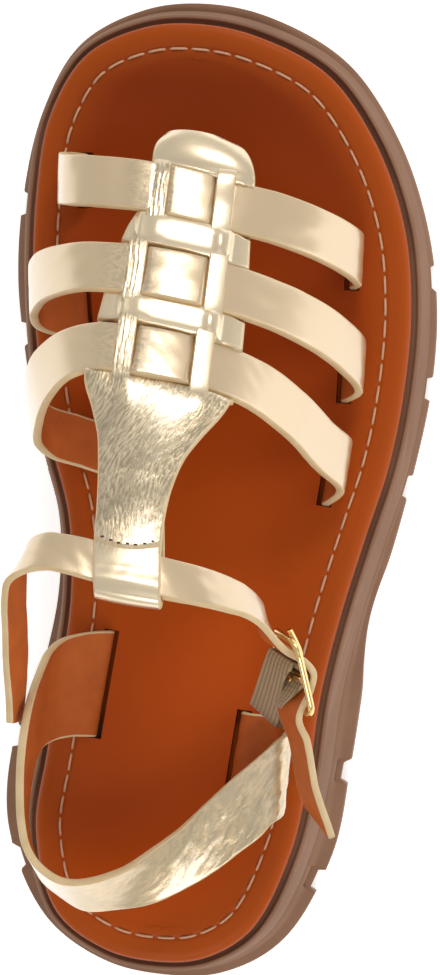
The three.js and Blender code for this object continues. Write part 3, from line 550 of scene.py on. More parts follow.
# Cross straps: three strips of cow leather with a champagne foil pressed on, cut with raw pale edges and
# lined in tan. Each comes up out of its inner slot, weaves through the spine and goes down its outer slot.
STRAP_WIDTH = 13.4
STRAP_THICKNESS = 2.2
STRAP_LIFT = 1.3
INSTEP_HEIGHT = 66.0
SPINE_CROWN = 1.5
INSET_IN_SLOT = 4.0
# spine: across, along, up, width share, turn, tilt
SPINE_ROWS = table("""
-0.064 0.8765 0.333 0.42 -4 0
-0.052 0.8650 0.364 0.62 0 -2
-0.038 0.838 0.424 0.71 3 -4
-0.038 0.806 0.462 0.73 -2 -5
-0.053 0.769 0.530 0.85 -4 -5
-0.062 0.724 0.596 0.94 -4.5 -5
-0.067 0.681 0.664 0.99 -4 -6
-0.072 0.646 0.718 1.02 -2 -6
-0.076 0.617 0.764 1.02 0 -5
-0.074 0.590 0.808 0.88 2 -4
-0.084 0.563 0.845 0.70 4.5 -3
-0.097 0.540 0.872 0.58 5 -2
-0.104 0.514 0.896 0.505 5 -1
-0.107 0.489 0.912 0.465 4 0
-0.105 0.459 0.948 0.453 0 0
-0.098 0.432 0.994 0.453 -3 0
-0.090 0.404 1.012 0.447 -4.8 0
""")
# across, along, up as a share of the crossing's height, turn and tilt of the width
CROSS_STRAPS = {
    "front": (0.815, table("""
-0.385 0.825 0 4 0
-0.420 0.824 0.18 4 2
-0.420 0.822 0.44 5 9
-0.388 0.820 0.72 6 16
-0.320 0.8205 0.89 6 20
-0.235 0.8205 0.965 5 22
-0.165 0.819 1 2 23
-0.060 0.813 1 -4 24
0.035 0.806 0.955 -6 25
0.150 0.799 0.83 -5 23
0.260 0.787 0.62 -2 21
0.332 0.775 0.375 0 18
0.367 0.765 0.15 3 10
0.353 0.762 0 4 0
""")),
    "middle": (0.727, table("""
-0.360 0.686 0 10 0
-0.415 0.684 0.07 9 2
-0.462 0.689 0.16 7 6
-0.470 0.700 0.34 8 10
-0.442 0.714 0.56 11 17
-0.384 0.7235 0.78 12 23
-0.304 0.7305 0.94 9 27
-0.205 0.732 1 5 28
-0.072 0.7275 1.01 1 28
0.053 0.7205 0.95 -2 29
0.176 0.708 0.78 -3 29
0.280 0.691 0.58 -3 27
0.352 0.672 0.35 -1 22
0.396 0.651 0.125 2 12
0.360 0.641 0 2 0
""")),
    "rear": (0.648, table("""
-0.255 0.539 0.015 8 3
-0.325 0.546 0.065 9 5
-0.402 0.553 0.125 10 6
-0.436 0.564 0.24 13 10
-0.430 0.584 0.48 20 20
-0.399 0.611 0.70 23 25
-0.335 0.636 0.88 20 30
-0.255 0.6485 0.97 12 31
-0.195 0.650 1 5 31
-0.080 0.646 1 -2 31
0.045 0.639 0.945 -8 33
0.158 0.623 0.80 -9 32
0.262 0.593 0.57 -8 28
0.325 0.566 0.355 -8 24
0.378 0.544 0.115 -3 14
0.341 0.529 0 -4 3
""")),
}
BAND_ACROSS = {"front": (-0.140, 0.025), "middle": (-0.172, 0.031), "rear": (-0.172, 0.022)}
BAND_WIDTH = 4.6
STRAP_FINENESS = 16
WEAVE_DEPTH = 1.2
WEAVE_RISE = 0.6


def spots(across, along, up, height):
    """Points over the footbed: across in ball widths, along in footbed lengths, up in the given height."""
    y = y_of(along)
    return np.column_stack([np.asarray(across) * BALL_WIDTH, y, footbed_top(y) + np.asarray(up) * height])


def even_edges(rows, width, height):
    """Front and rear edge of a strap of even width: half the width either way along the direction that turns
    from straight back to the outer side, and tilts up."""
    turn, tilt = np.radians(rows[:, 3]), np.radians(rows[:, 4])
    way = np.column_stack([np.sin(turn) * np.cos(tilt), -np.cos(turn) * np.cos(tilt), np.sin(tilt)])
    middle = spots(rows[:, 0], rows[:, 1], rows[:, 2], height)
    return middle - way * width / 2, middle + way * width / 2


def in_slot(edges):
    """Both edges with an end point straight down in the slot at either end."""
    down = np.array([0, 0, -INSET_IN_SLOT])
    return tuple(np.vstack([edge[0] + down, edge, edge[-1] + down]) for edge in edges)


def spine_height(along):
    """Height of the spine's face over the footbed, crown included, straight between its rows."""
    return INSTEP_HEIGHT * np.interp(along, SPINE_ROWS[::-1, 1], SPINE_ROWS[::-1, 2]) + SPINE_CROWN


def strip(edges, per, thickness, shape, columns=14, crown=0.0, corner=0.55, lining_columns=6):
    """A leather strip as rings of one rounded section carried between two edge lines, `per` rings a span. The
    face stands off by the crown times (1 - (2 share - 1)^2) and by shape(run, across, share, points); the lining
    lies the thickness below. Gives points, quads, the finish of each quad (0 face, 1 cut edge, 2 lining) and
    each point's place in metres."""
    front, rear = (flowing(edge, per) for edge in edges)
    n, r = len(front), corner
    middle = (front + rear) / 2
    forward = unit(np.vstack([middle[1] - middle[0], middle[2:] - middle[:-2], middle[-1] - middle[-2]]))
    width = np.linalg.norm(rear - front, axis=1)[:, None]
    across = unit(rear - front)
    normal = unit(np.cross(across, forward))
    face, back = np.linspace(0, 1, columns), np.linspace(0, 1, lining_columns)
    steep = np.radians([72, 45, 18])
    flat = steep[::-1]
    corners = r * np.cos([steep, flat])
    a = np.hstack([
        r + (width - 2 * r) * face, *(width - r + c for c in corners),
        width - r - (width - 2 * r) * back, *(np.broadcast_to(r - c, (n, 3)) for c in corners),
    ])
    drop = np.concatenate([
        0 * face, r * np.sin(steep) - r, r - r * np.sin(flat) - thickness, 0 * back - thickness,
        r - r * np.sin(steep) - thickness, r * np.sin(flat) - r,
    ])
    run = np.concatenate([[0], np.cumsum(np.linalg.norm(np.diff(middle, axis=0), axis=1))])[:, None]
    share = a / width
    off = drop[None] + crown * (1 - (2 * share - 1) ** 2)
    points = front[:, None] + across[:, None] * a[..., None]
    points = points + normal[:, None] * (off + shape(run, a, share, points))[..., None]
    m = a.shape[1]
    # finish of each quad round a ring, then the two ends as fans about their middles
    ring_part = np.concatenate([np.zeros(columns), np.ones(6), np.full(lining_columns - 1, 2), np.ones(6), [0]])
    i = np.arange(m)
    j = (i + 1) % m
    caps = []
    for ring, centre in ((0, n * m), (n - 1, n * m + 1)):
        fan = np.column_stack([ring * m + i, np.full((m, 2), centre), ring * m + j])
        caps.append(fan if ring == 0 else fan[:, ::-1])
    uv = np.stack([np.broadcast_to(run, a.shape), a], axis=-1).reshape(-1, 2) * MILLIMETRE
    uv = np.vstack([uv, uv[0], uv[-1]])
    points = np.vstack([points.reshape(-1, 3), points[0].mean(axis=0), points[-1].mean(axis=0)])
    quads = np.vstack([grid_faces(n, m), *caps])
    return points, quads, np.concatenate([np.tile(ring_part, n - 1), np.ones(2 * m)]), uv


def ripple(u, v, length_u, length_v, seed):
    """Creases: the sum of twelve sine waves of scattered direction and phase, divided by 3.5."""
    rng = np.random.default_rng(seed)
    total = 0
    for k in range(12):
        way = rng.normal(size=2)
        turns = way[0] * u / length_u + way[1] * v / length_v
        total = total + np.sin(2 * np.pi * turns + rng.uniform(0, 6.3)) / 3.5
    return total


def together(parts):
    """Several strips or rods as one part: their arrays stacked, their quads numbered on."""
    points, quads, *marks = zip(*parts)
    first = np.cumsum([0] + [len(p) for p in points[:-1]])
    return np.vstack(points), np.vstack([q + shift for q, shift in zip(quads, first)]), *map(np.concatenate, marks)


def foil_leather(name, crease_size, depths, creased_and_shaded_at, light, dark, metallic):
    """Cow leather with metallic foil under a clear hard coat. Its creases are stretched noise of the given real
    length and width, on top of a fine grain. They lie depths[0] deep, but depths[1] deep along a creased run, and
    there the troughs take the dark colour as painted crease shade and clouds of 7 mm turn grey as painted shade and
    dim reflection. creased_and_shaded_at gives the middle of that run, half its length and the length it fades
    over, in millimetres along the strip."""
    finish = new_finish(name)
    middle, reach, fade = (length * MILLIMETRE for length in creased_and_shaded_at)
    place = node(finish, "UVMap", "UV", uv_map="strip")
    scale = (1 / (crease_size[0] * MILLIMETRE), 1 / (crease_size[1] * MILLIMETRE), 1)
    stretched = node(finish, "Mapping", 0, {"Vector": place, "Scale": scale})
    bent = node(finish, "TexNoise", "Color", {"Vector": place, "Scale": 1 / (5 * MILLIMETRE), "Detail": 2.0})
    swing = node(finish, "VectorMath", 0, {0: bent, 1: (1.2, 2.4, 0)}, operation="MULTIPLY")
    lay = node(finish, "VectorMath", 0, {0: stretched, 1: swing}, operation="ADD")
    crease = node(finish, "TexNoise", "Fac", {"Vector": lay, "Scale": 1.0, "Detail": 3.0, "Roughness": 0.55})
    along = node(finish, "SeparateXYZ", "X", {"Vector": place})
    off = node(finish, "Math", 0, {0: along, 1: middle}, operation="SUBTRACT")
    away = node(finish, "Math", 0, {0: off}, operation="ABSOLUTE")
    creased_and_shaded = ranged(finish, away, 1.0, 0.0, reach, reach + fade)
    # Painted shade: on the creased run the crease troughs darken to the dark colour and clouds of 7 mm turn grey.
    trough = ranged(finish, crease, 1.0, 0.0, 0.40, 0.56)
    grey = ranged(finish, noise(finish, place, 7, 1.0), 0.0, 0.6, 0.48, 0.62)
    crease_shade = node(finish, "Math", 0, {0: trough, 1: creased_and_shaded}, operation="MULTIPLY")
    cloud_shade = node(finish, "Math", 0, {0: grey, 1: creased_and_shaded}, operation="MULTIPLY")
    depth = ranged(finish, creased_and_shaded, depths[0] * MILLIMETRE, depths[1] * MILLIMETRE)
    dress(finish, {
        "Base Color": blend(finish, crease_shade, blend(finish, cloud_shade, light, "#ab9877"), dark),
        "Normal": bump(finish, cells(finish, place, 0.6), 0.2, 0.05 * MILLIMETRE, bump(finish, crease, 0.8, depth)),
        "Roughness": 0.3,
        "Metallic": metallic,
        "Coat Weight": 1.0,
        "Coat Roughness": 0.2,
        "Coat IOR": 2.0,
    })
    return finish


def plain_leather(name, light, dark, roughness):
    """Leather without foil: two tones in clouds of 6 mm and a grain of 0.6 mm."""
    finish = new_finish(name)
    at = node(finish, "TexCoord", "Object")
    dress(finish, {
        "Base Color": blend(finish, noise(finish, at, 6, 3.0), dark, light),
        "Normal": bump(finish, noise(finish, at, 0.6), 0.3, 0.08 * MILLIMETRE),
        "Roughness": roughness,
        "Specular IOR Level": 0.2,
    })
    return finish


# Smooth foil for the straps, creased on the spine's neck and its left bands, crinkled on the heel band. The cut
# edge is painted pale, and the lining is thin tan sheepskin.
# In each look the second colour is the painted crease shade, taken on in the troughs of the creased run.
foil_smooth, foil_creased, foil_crinkled = (foil_leather(*look) for look in (
    ("foil_leather_champagne", (1.6, 1.0), (0.01, 0.12), (3, 2, 8), "#d4b98f", "#b5a180", 0.5),
    ("foil_leather_creased", (2.0, 0.6), (0.01, 0.24), (85, 20, 9), "#e2cca6", "#a8946f", 0.75),
    ("foil_leather_crinkled", (2.2, 1.5), (0.02, 0.22), (140, 25, 40), "#d0b588", "#b8a37c", 0.55),
))
cut_edge = plain_leather("painted_cut_edge", "#dcc49a", "#c3a478", 0.5)
lining = plain_leather("sheepskin_lining_tan", "#c4652a", "#a24e1b", 0.55)
STRAP_FINISHES = [foil_smooth, cut_edge, lining]


def over_spine(points, name):
    """Relief of a cross strap where it weaves. Under each of its two bands it lies down, with a steep wall
    towards the middle and a soft one outward, and between them it rises as sin(pi share)^0.8."""
    left, right = (BALL_WIDTH * across for across in BAND_ACROSS[name])
    x = points[..., 0]
    inside = np.clip((x - left) / (right - left), 0, 1)
    reach = BAND_WIDTH / 2
    under_left = step(x, left - 0.2 * reach, 1.2 * reach) * (1 - step(x, left + reach + 0.2, 0.4))
    under_right = step(x, right - reach - 0.35, 0.4) * (1 - step(x, right + 0.2 * reach, 1.2 * reach))
    return WEAVE_RISE * np.sin(np.pi * inside) ** 0.8 - WEAVE_DEPTH * (under_left + under_right)


# The place along each strap counts from its left band, where the foil is creased and its creases are painted dark as
# shade.
straps = []
for name, (crossing, rows) in CROSS_STRAPS.items():
    edges = in_slot(even_edges(rows, STRAP_WIDTH, spine_height(crossing) + STRAP_LIFT))
    part = strip(
        edges, STRAP_FINENESS, STRAP_THICKNESS, columns=16,
        shape=lambda run, a, share, points, name=name: over_spine(points, name)
        + 0.05 * ripple(run, a, 12, 9, len(name)) + 0.10 * (1 - (2 * share - 1) ** 2),
    )
    ring_size = len(part[0]) // (STRAP_FINENESS * (len(edges[0]) - 1) + 1)
    at_band = STRAP_FINENESS * (1 + np.argmin(np.abs(rows[:, 0] - BAND_ACROSS[name][0]) + (rows[:, 2] < 0.9)))
    part[3][:, 0] -= part[3][at_band * ring_size, 0]
    straps.append(part)
add_piece("cross_straps", together(straps), STRAP_FINISHES)

# Spine: one shaped piece of the same leather from the front tab over the instep. It dips under each strap,
# puffs up between them, runs out in a neck, and is sewn to the loop that holds the ankle strap.
SPINE_WIDTH = 36.0
NECK_WIDTH = 0.453
SPINE_THICKNESS = 2.0
LOOP_ROWS = table("""
-0.089 0.3965 0.990 0.447 -4.8 0
-0.089 0.3932 0.957 0.447 -4.8 0
-0.089 0.3945 0.915 0.447 -4.8 0
-0.090 0.4025 0.880 0.447 -4.8 0
-0.096 0.428 0.858 0.447 -3 0
-0.103 0.4555 0.840 0.447 0 0
-0.106 0.4745 0.873 0.447 2 0
""")
LOOP_CROWN = 0.4
SEAM_ALONG = 0.455
SEAM_DROP = 0.7
NECK_END = 128  # run in millimetres by which the neck has turned down into the loop
SPINE_FINENESS = 24
SPINE_COLUMNS = 80


def spine_edges(rows):
    """Edges of the spine: half its width to either side of the middle line, turned and tilted."""
    turn, tilt = np.radians(rows[:, 4]), np.radians(rows[:, 5])
    half = unit(np.column_stack([np.cos(turn), np.sin(turn), np.sin(tilt)])) * (rows[:, 3:4] * SPINE_WIDTH / 2)
    middle = spots(rows[:, 0], rows[:, 1], rows[:, 2], INSTEP_HEIGHT)
    return middle + half, middle - half


def strap_lines():
    """For each strap, the line y = m x + c of its middle where it crosses the spine."""
    near = [rows[np.abs(rows[:, 0] + 0.06) < 0.13] for _, rows in CROSS_STRAPS.values()]
    return [np.polyfit(rows[:, 0] * BALL_WIDTH, y_of(rows[:, 1]), 1) for rows in near]


def seam_line(share):
    """Place along the shoe of the neck's sewn end: a shallow bow across the width, hollow side to the toe."""
    return y_of(SEAM_ALONG) - 1.4 + 1.8 * (2 * share - 1) ** 2


def spine_relief(run, a, share, points):
    """Relief of the spine. It lies 2.1 mm down under a strap, 4.7 mm outside the bands, where the straps lie over
    its wings. Between the bands it stands 1.3 mm up in each gap between two straps, as a pillow of the form
    sqrt(1 - (2 share - 1)^4), with a knob at each band. The tab and the neck bulge too, and the seam is a
    step down. All of it ends where the spine turns into the loop."""
    x, y = points[..., 0], points[..., 1]
    half, side = STRAP_WIDTH / 2, BAND_WIDTH / 2
    offs = [y - np.polyval(line, x) for line in strap_lines()]
    bands = np.array(list(BAND_ACROSS.values())) * BALL_WIDTH
    edge_fade = 1 - np.abs(2 * share - 1) ** 4
    relief = 0 * x
    # under the straps; the neck widens into the rear strap's rear edge, so its wings come up there
    for off, (left, right) in zip(offs, bands):
        wing = step(x, right + side + 1, 2) + 1 - step(x, left - side - 1, 2)
        wing = wing * step(off + half, 5, 7) if off is offs[2] else wing
        relief = relief - (2.1 + 2.6 * wing) * (1 - step(np.abs(off), half - 0.25 - 0.9 * (off > 0), 0.7))
    # wings between the straps
    woven = step(half + 0.5 - offs[0], 0, 2) * step(offs[2] + half + 0.5, 0, 2)
    left, right = bands.mean(axis=0)
    sink = 3.4 * step(x, right + side + 6, 12) + 1.4 * (1 - step(x, left - side - 6, 12))
    relief = relief - sink * woven
    # pillows
    for front, back in ((0, 1), (1, 2)):
        gap = (0.4 - offs[front] - half) / np.maximum(offs[back] - offs[front] - 2 * half + 1.6, 0.5)
        gap = np.clip(gap, 0, 1)
        left, right = (bands[front] + bands[back]) / 2
        between = step(x, left - side - 0.4, 1.6) * (1 - step(x, right + side + 0.2, 1.6))
        knobs = 0.6 * np.exp(-(((x - left - 2.2) / 2.2) ** 2)) + np.exp(-(((x - right) / 1.7) ** 2))
        pillow = np.sqrt(1 - (2 * gap - 1) ** 4)
        relief = relief + pillow * between * (1.3 + 0.8 * knobs * np.sin(np.pi * gap))
    # tab, then neck with its seam and creases
    tab = np.clip((offs[0] - half) / 11, 0, 1)
    relief = relief + 1.1 * np.sin(np.pi * tab**0.75) * edge_fade
    behind = np.clip((-offs[2] - half) / 22, 0, 1)
    knobs = np.exp(-(((x - bands[2, 0] - 1.5) / 2.2) ** 2)) + np.exp(-(((x - bands[2, 1] - 1) / 3) ** 2))
    relief = relief + (0.9 + 0.8 * knobs * (1 - behind) ** 2) * np.sin(np.pi * behind**0.5) * edge_fade
    relief = relief - SEAM_DROP * (1 - step(y, seam_line(share), 0.5)) * (run < NECK_END)
    relief = relief + 0.03 * ripple(run, a, 12, 8, 4) * step(behind, 0.15, 0.2)
    return relief * (run > 0) * (1 - step(run, NECK_END - 10, 4))


spine_rows = np.vstack([SPINE_ROWS, LOOP_ROWS])
spine_rings = SPINE_FINENESS * (len(spine_rows) - 1) + 1
in_loop = step(np.linspace(0, 1, spine_rings)[:, None], 0.62, 0.16)
spine = strip(
    spine_edges(spine_rows), SPINE_FINENESS, SPINE_THICKNESS, columns=SPINE_COLUMNS,
    crown=SPINE_CROWN + (LOOP_CROWN - SPINE_CROWN) * in_loop, lining_columns=16, shape=spine_relief,
)
# the raw edge of the neck's end, painted pale like the cut edges
quad_y = spine[0][spine[1]].mean(axis=1)[:, 1]
quad_run, quad_a = spine[3][spine[1]].mean(axis=1).T / MILLIMETRE
neck_share = quad_a / (NECK_WIDTH * SPINE_WIDTH)
raw = np.abs(quad_y - seam_line(neck_share) + 0.05) < 0.3
spine[2][raw & (quad_run < NECK_END) & (spine[2] == 0)] = 1

# Bands: the strips left standing between the spine's slits. Each arches over a strap and dives back into the
# spine's puffs before and behind it.
BAND_LIFT = 1.9
FOLD_DEPTH = 0.035
CREASED_AND_SHADED_RUN = 80
# along, across and length of each band, then the arch of every band as shares of its length and lift
BANDS = table("""
0.8105 -0.140 21
0.806 0.025 22.5
0.729 -0.172 24
0.722 0.031 24
0.651 -0.172 24
0.645 0.022 24
""")
BAND_ARC = table("""
-0.5 -0.95
-0.42 0.1
-0.34 0.6
-0.24 0.86
0 0.95
0.24 0.86
0.34 0.6
0.42 0.1
0.5 -0.95
""")


def on_spine(x, along, lift):
    """Points of the spine's face beside its middle line: the row that passes there when turned, its height, less
    the crown's square-law sag, plus the tilt, plus the lift."""
    places, rows = SPINE_ROWS[::-1, 1], SPINE_ROWS[::-1]
    beside = x - np.interp(along, places, rows[:, 0]) * BALL_WIDTH
    at = along - beside * np.tan(np.radians(np.interp(along, places, rows[:, 4]))) / FOOTBED_LENGTH
    sag = SPINE_CROWN * (2 * beside / (np.interp(at, places, rows[:, 3]) * SPINE_WIDTH)) ** 2
    rise = beside * np.tan(np.radians(np.interp(at, places, rows[:, 5])))
    y = y_of(along)
    z = footbed_top(y) + INSTEP_HEIGHT * np.interp(at, places, rows[:, 2]) + SPINE_CROWN - sag + rise + lift
    return np.column_stack([np.full(len(y), x), y, z])


def folds(run, a, seed):
    """Lengthwise folds of a bent strip: two sine waves across it, of 1.2 and 0.8 mm, that wander as they run."""
    wide = np.sin(5.2 * a + 1.3 * np.sin(run / 2.6 + seed))
    return wide + 0.6 * np.sin(7.9 * a + 1.6 * np.sin(run / 3.7 + 2 * seed))


# The left bands are folded and creased, their creases painted dark as shade: their place on the strip lies on the
# creased foil's creased and shaded run.
bands = []
for seed, (crossing, across, length) in enumerate(BANDS):
    along = crossing - BAND_ARC[:, 0] * length / FOOTBED_LENGTH
    x, lift = across * BALL_WIDTH, BAND_ARC[:, 1] * BAND_LIFT
    edges = on_spine(x + BAND_WIDTH / 2, along, lift), on_spine(x - BAND_WIDTH / 2, along, lift)
    depth = FOLD_DEPTH if across < 0 else 0.0
    band = strip(
        edges, 14, SPINE_THICKNESS, columns=26, crown=0.15, corner=0.3, lining_columns=3,
        shape=lambda run, a, *_, seed=seed, depth=depth: depth * folds(run, a, seed),
    )
    band[3][:, 0] += CREASED_AND_SHADED_RUN * MILLIMETRE if across < 0 else 0.0
    bands.append(band)
add_piece("woven_spine", together([spine, *bands]), [foil_creased, cut_edge, lining], "vamp")

# Heel band and quarters: one piece of foil leather, up out of the inner slot, round behind the heel, over a
# fold on the outer side and down into the outer slot.
HEEL_BAND_HEIGHT = 36.0
HEEL_BAND_THICKNESS = 2.0
# front edge: across, along, up; then the rear edge
HEEL_BAND_ROWS = table("""
-0.209 0.348 0.0 -0.230 0.234 0.0
-0.272 0.343 0.07 -0.280 0.232 0.08
-0.318 0.336 0.17 -0.318 0.228 0.18
-0.342 0.325 0.33 -0.342 0.222 0.31
-0.350 0.306 0.57 -0.350 0.213 0.41
-0.353 0.284 0.83 -0.354 0.202 0.455
-0.356 0.255 0.965 -0.358 0.188 0.46
-0.359 0.220 0.965 -0.360 0.171 0.45
-0.357 0.184 0.915 -0.362 0.153 0.43
-0.349 0.150 0.86 -0.358 0.134 0.39
-0.330 0.121 0.81 -0.338 0.108 0.36
-0.292 0.100 0.75 -0.299 0.080 0.31
-0.235 0.088 0.72 -0.244 0.064 0.31
-0.170 0.090 0.70 -0.182 0.054 0.35
-0.080 0.106 0.645 -0.090 0.060 0.38
-0.016 0.128 0.60 -0.012 0.069 0.39
0.046 0.152 0.56 0.064 0.087 0.41
0.107 0.182 0.53 0.139 0.110 0.44
0.163 0.209 0.52 0.201 0.134 0.47
0.222 0.234 0.515 0.250 0.153 0.49
0.270 0.254 0.50 0.278 0.168 0.485
0.297 0.262 0.455 0.297 0.173 0.45
0.306 0.266 0.385 0.303 0.176 0.38
0.299 0.270 0.255 0.293 0.179 0.255
0.275 0.273 0.115 0.267 0.181 0.125
0.235 0.275 0.030 0.226 0.183 0.04
0.184 0.275 0.0 0.168 0.183 0.0
""")
heel_front, heel_rear = in_slot([spots(*rows.T, HEEL_BAND_HEIGHT) for rows in np.hsplit(HEEL_BAND_ROWS, 2)])
heel_band = strip(
    (heel_front, heel_rear), 12, HEEL_BAND_THICKNESS, columns=30, lining_columns=16,
    shape=lambda run, a, *_: (0.02 + 0.07 * step(run, 120, 60)) * ripple(run, a, 9, 6, 21),
)
add_piece("heel_band", heel_band, [foil_crinkled, cut_edge, lining], "heel_strap")

# Slots: punched straight down into the footbed at each end of the three straps and of the heel band, 0.3 mm
# clear of the leather's face and 1.3 mm wider than the leather on the side towards the foot.
SLOT_DEPTH = 5.0
SLOT_CLEARANCE = 0.3
SLOT_SLACK = 1.3
# one end of each strap's edges, and 1 or -1 for the way to the foot
ends = []
for name, (crossing, rows) in CROSS_STRAPS.items():
    front, rear = even_edges(rows, STRAP_WIDTH, spine_height(crossing) + STRAP_LIFT)
    ends += [(front[0], rear[0], 1), (front[-1], rear[-1], -1)]
ends += [(heel_front[1], heel_rear[1], 1), (heel_front[-2], heel_rear[-2], -1)]
corners = []
for one, other, inward in ends:
    way = unit(other[:2] - one[:2])
    across = inward * np.array([-way[1], way[0]])
    start, end = one[:2] - way * SLOT_CLEARANCE, other[:2] + way * SLOT_CLEARANCE
    inner, outer = across * (STRAP_THICKNESS + SLOT_SLACK), -across * SLOT_CLEARANCE
    plan = [start + outer, end + outer, end + inner, start + inner][::inward]
    top = footbed_top(one[1])
    corners += [(*p, z) for z in (top - SLOT_DEPTH, top + 2) for p in plan]
punch_mesh = bpy.data.meshes.new("slot_punch")
box = np.array([[3, 2, 1, 0], [4, 5, 6, 7], [0, 1, 5, 4], [1, 2, 6, 5], [2, 3, 7, 6], [3, 0, 4, 7]])
punch_faces = (box[None] + 8 * np.arange(len(ends))[:, None, None]).reshape(-1, 4)
punch_mesh.from_pydata((np.array(corners) * MILLIMETRE).tolist(), [], punch_faces.tolist())
punch = new_object("slot_punch", punch_mesh)
cut = footbed.modifiers.new("slots", "BOOLEAN")
cut.object = punch
cut.solver = "EXACT"
punched = bpy.data.meshes.new_from_object(footbed.evaluated_get(bpy.context.evaluated_depsgraph_get()))
footbed.modifiers.clear()
footbed.data = punched
bpy.data.objects.remove(punch)
punched.set_sharp_from_angle(angle=np.radians(50))

# Ankle strap: a narrow strip sewn outside the inner quarter, through the spine's loop and the buckle, over
# its middle bar, to a free tail that stands off outside the heel band.
ANKLE_WIDTH = 10.6
ANKLE_THICKNESS = 1.8
WIRE = 1.7
ELASTIC_THICKNESS = 1.0
BUCKLE_LENGTH = 22.0
BUCKLE_PLACE = (0.301, 0.331, 0.455)
BUCKLE_BACK = (0.25, -0.88, -0.42)
BUCKLE_BAR = (0.55, -0.28, 0.78)
ANKLE_ROWS = table("""
-0.386 0.254 0.470 -90 84
-0.386 0.280 0.508 -90 78
-0.388 0.319 0.579 -90 70
-0.390 0.356 0.670 -88 69
-0.392 0.388 0.758 -65 69
-0.384 0.415 0.827 -30 62
-0.353 0.432 0.876 5 50
-0.306 0.439 0.906 12 38
-0.250 0.438 0.926 12 30
-0.184 0.434 0.938 9 25
-0.099 0.429 0.943 8.7 22
-0.011 0.423 0.932 8.5 25
0.076 0.418 0.878 8.8 34
0.150 0.411 0.800 9 44
0.196 0.403 0.722 12 54
0.228 0.391 0.650 18 63
""")
TAIL_ROWS = table("""
0.339 0.262 0.390 105 64
0.371 0.214 0.365 105 64
""")
# corners of the slanted tip: across, along, up
TAIL_TIP = np.array([[0.368, 0.193, 0.273], [0.444, 0.1655, 0.41]])
buckle_along = unit(BUCKLE_BACK)
buckle_out = unit(np.cross(BUCKLE_BAR, buckle_along))
buckle_up = unit(np.cross(buckle_along, buckle_out))
buckle_centre = spots([BUCKLE_PLACE[0]], [BUCKLE_PLACE[1]], [BUCKLE_PLACE[2]], INSTEP_HEIGHT)[0]
bar_radius = WIRE / 2
elastic_radius = bar_radius + GAP + ELASTIC_THICKNESS
strap_over_bar = elastic_radius + GAP + ANKLE_THICKNESS
strap_inside = -(bar_radius + GAP)


def at_buckle(along, up, out):
    """Points in the buckle's frame: along the strap, up its width and out from the foot."""
    along, up, out = np.broadcast_arrays(np.asarray(along, float), up, out)
    return buckle_centre + along[..., None] * buckle_along + up[..., None] * buckle_up + out[..., None] * buckle_out


half_length = (BUCKLE_LENGTH - WIRE) / 2
weave_along = np.array([-1, -0.45, 0, 0.45, 1]) * half_length
weave_out = [strap_inside - 1, 0.55 * strap_over_bar, strap_over_bar, 0.55 * strap_over_bar, strap_inside - 1]
before = even_edges(ANKLE_ROWS, ANKLE_WIDTH, INSTEP_HEIGHT)
after = even_edges(TAIL_ROWS, ANKLE_WIDTH, INSTEP_HEIGHT)
tip = spots(*TAIL_TIP.T, INSTEP_HEIGHT)
edges = [
    np.vstack([before[k], at_buckle(weave_along, side * ANKLE_WIDTH / 2, weave_out), after[k], tip[k]])
    for k, side in ((0, -1), (1, 1))
]
ankle_strap = strip(
    edges, 12, ANKLE_THICKNESS, columns=14, corner=0.5,
    shape=lambda run, a, *_: 0.05 * ripple(run, a, 8, 7, 31),
)
add_piece("ankle_strap_leather", ankle_strap, STRAP_FINISHES, "ankle_strap")

# Buckle: a rounded wire frame with a middle bar, bent and brazed from brass rod, polished. A wire prong is
# curled round the bar and rests on the frame's front side.
BUCKLE_HEIGHT = 15.4
BUCKLE_CORNER = 4.0
PRONG_WIRE = 1.4


def rod(line, radius, beside, sides=14, closed=False):
    """A round rod on a line: circles square to it, each started from the direction square to the line and to
    the one given. Closed rods join end to end, open ones get flat ends."""
    line = np.asarray(line, float)
    n = len(line)
    if closed:
        forward = unit(np.roll(line, -1, axis=0) - np.roll(line, 1, axis=0))
    else:
        forward = unit(np.vstack([line[1] - line[0], line[2:] - line[:-2], line[-1] - line[-2]]))
    side = unit(np.cross(beside, forward))
    other = np.cross(forward, side)
    angle = np.linspace(0, 2 * np.pi, sides, endpoint=False)
    ring = side[:, None] * np.cos(angle)[None, :, None] + other[:, None] * np.sin(angle)[None, :, None]
    points = (line[:, None] + radius * ring).reshape(-1, 3)
    quads = grid_faces(n, sides)[:, ::-1]
    i = np.arange(sides)
    j = (i + 1) % sides
    if closed:
        quads = np.vstack([quads, np.column_stack([(n - 1) * sides + i, i, j, (n - 1) * sides + j])])
    else:
        points = np.vstack([points, line[0], line[-1]])
        head = np.column_stack([i, j, np.full((sides, 2), n * sides)])
        foot = np.column_stack([(n - 1) * sides + j, (n - 1) * sides + i, np.full((sides, 2), n * sides + 1)])
        quads = np.vstack([quads, head, foot])
    return points, quads


brass = new_finish("polished_brass")
haze = noise(brass, node(brass, "TexCoord", "Object"), 2.5, 3.0)
dress(brass, {"Base Color": "#f0cf8e", "Metallic": 1.0, "Roughness": ranged(brass, haze, 0.12, 0.26)})

half_height = (BUCKLE_HEIGHT - WIRE) / 2
turn = np.linspace(0, 2 * np.pi, 120, endpoint=False)
frame_line = at_buckle(
    np.sign(np.cos(turn)) * (half_length - BUCKLE_CORNER) + BUCKLE_CORNER * np.cos(turn),
    np.sign(np.sin(turn)) * (half_height - BUCKLE_CORNER) + BUCKLE_CORNER * np.sin(turn),
    0.0,
)
bar_line = at_buckle(0.0, np.linspace(-1, 1, 9) * half_height, 0.0)
wires = [rod(frame_line, WIRE / 2, buckle_out, closed=True), rod(bar_line, WIRE / 2, buckle_out)]
add_piece("buckle_wire_frame", together(wires), [brass], "buckle_frame")

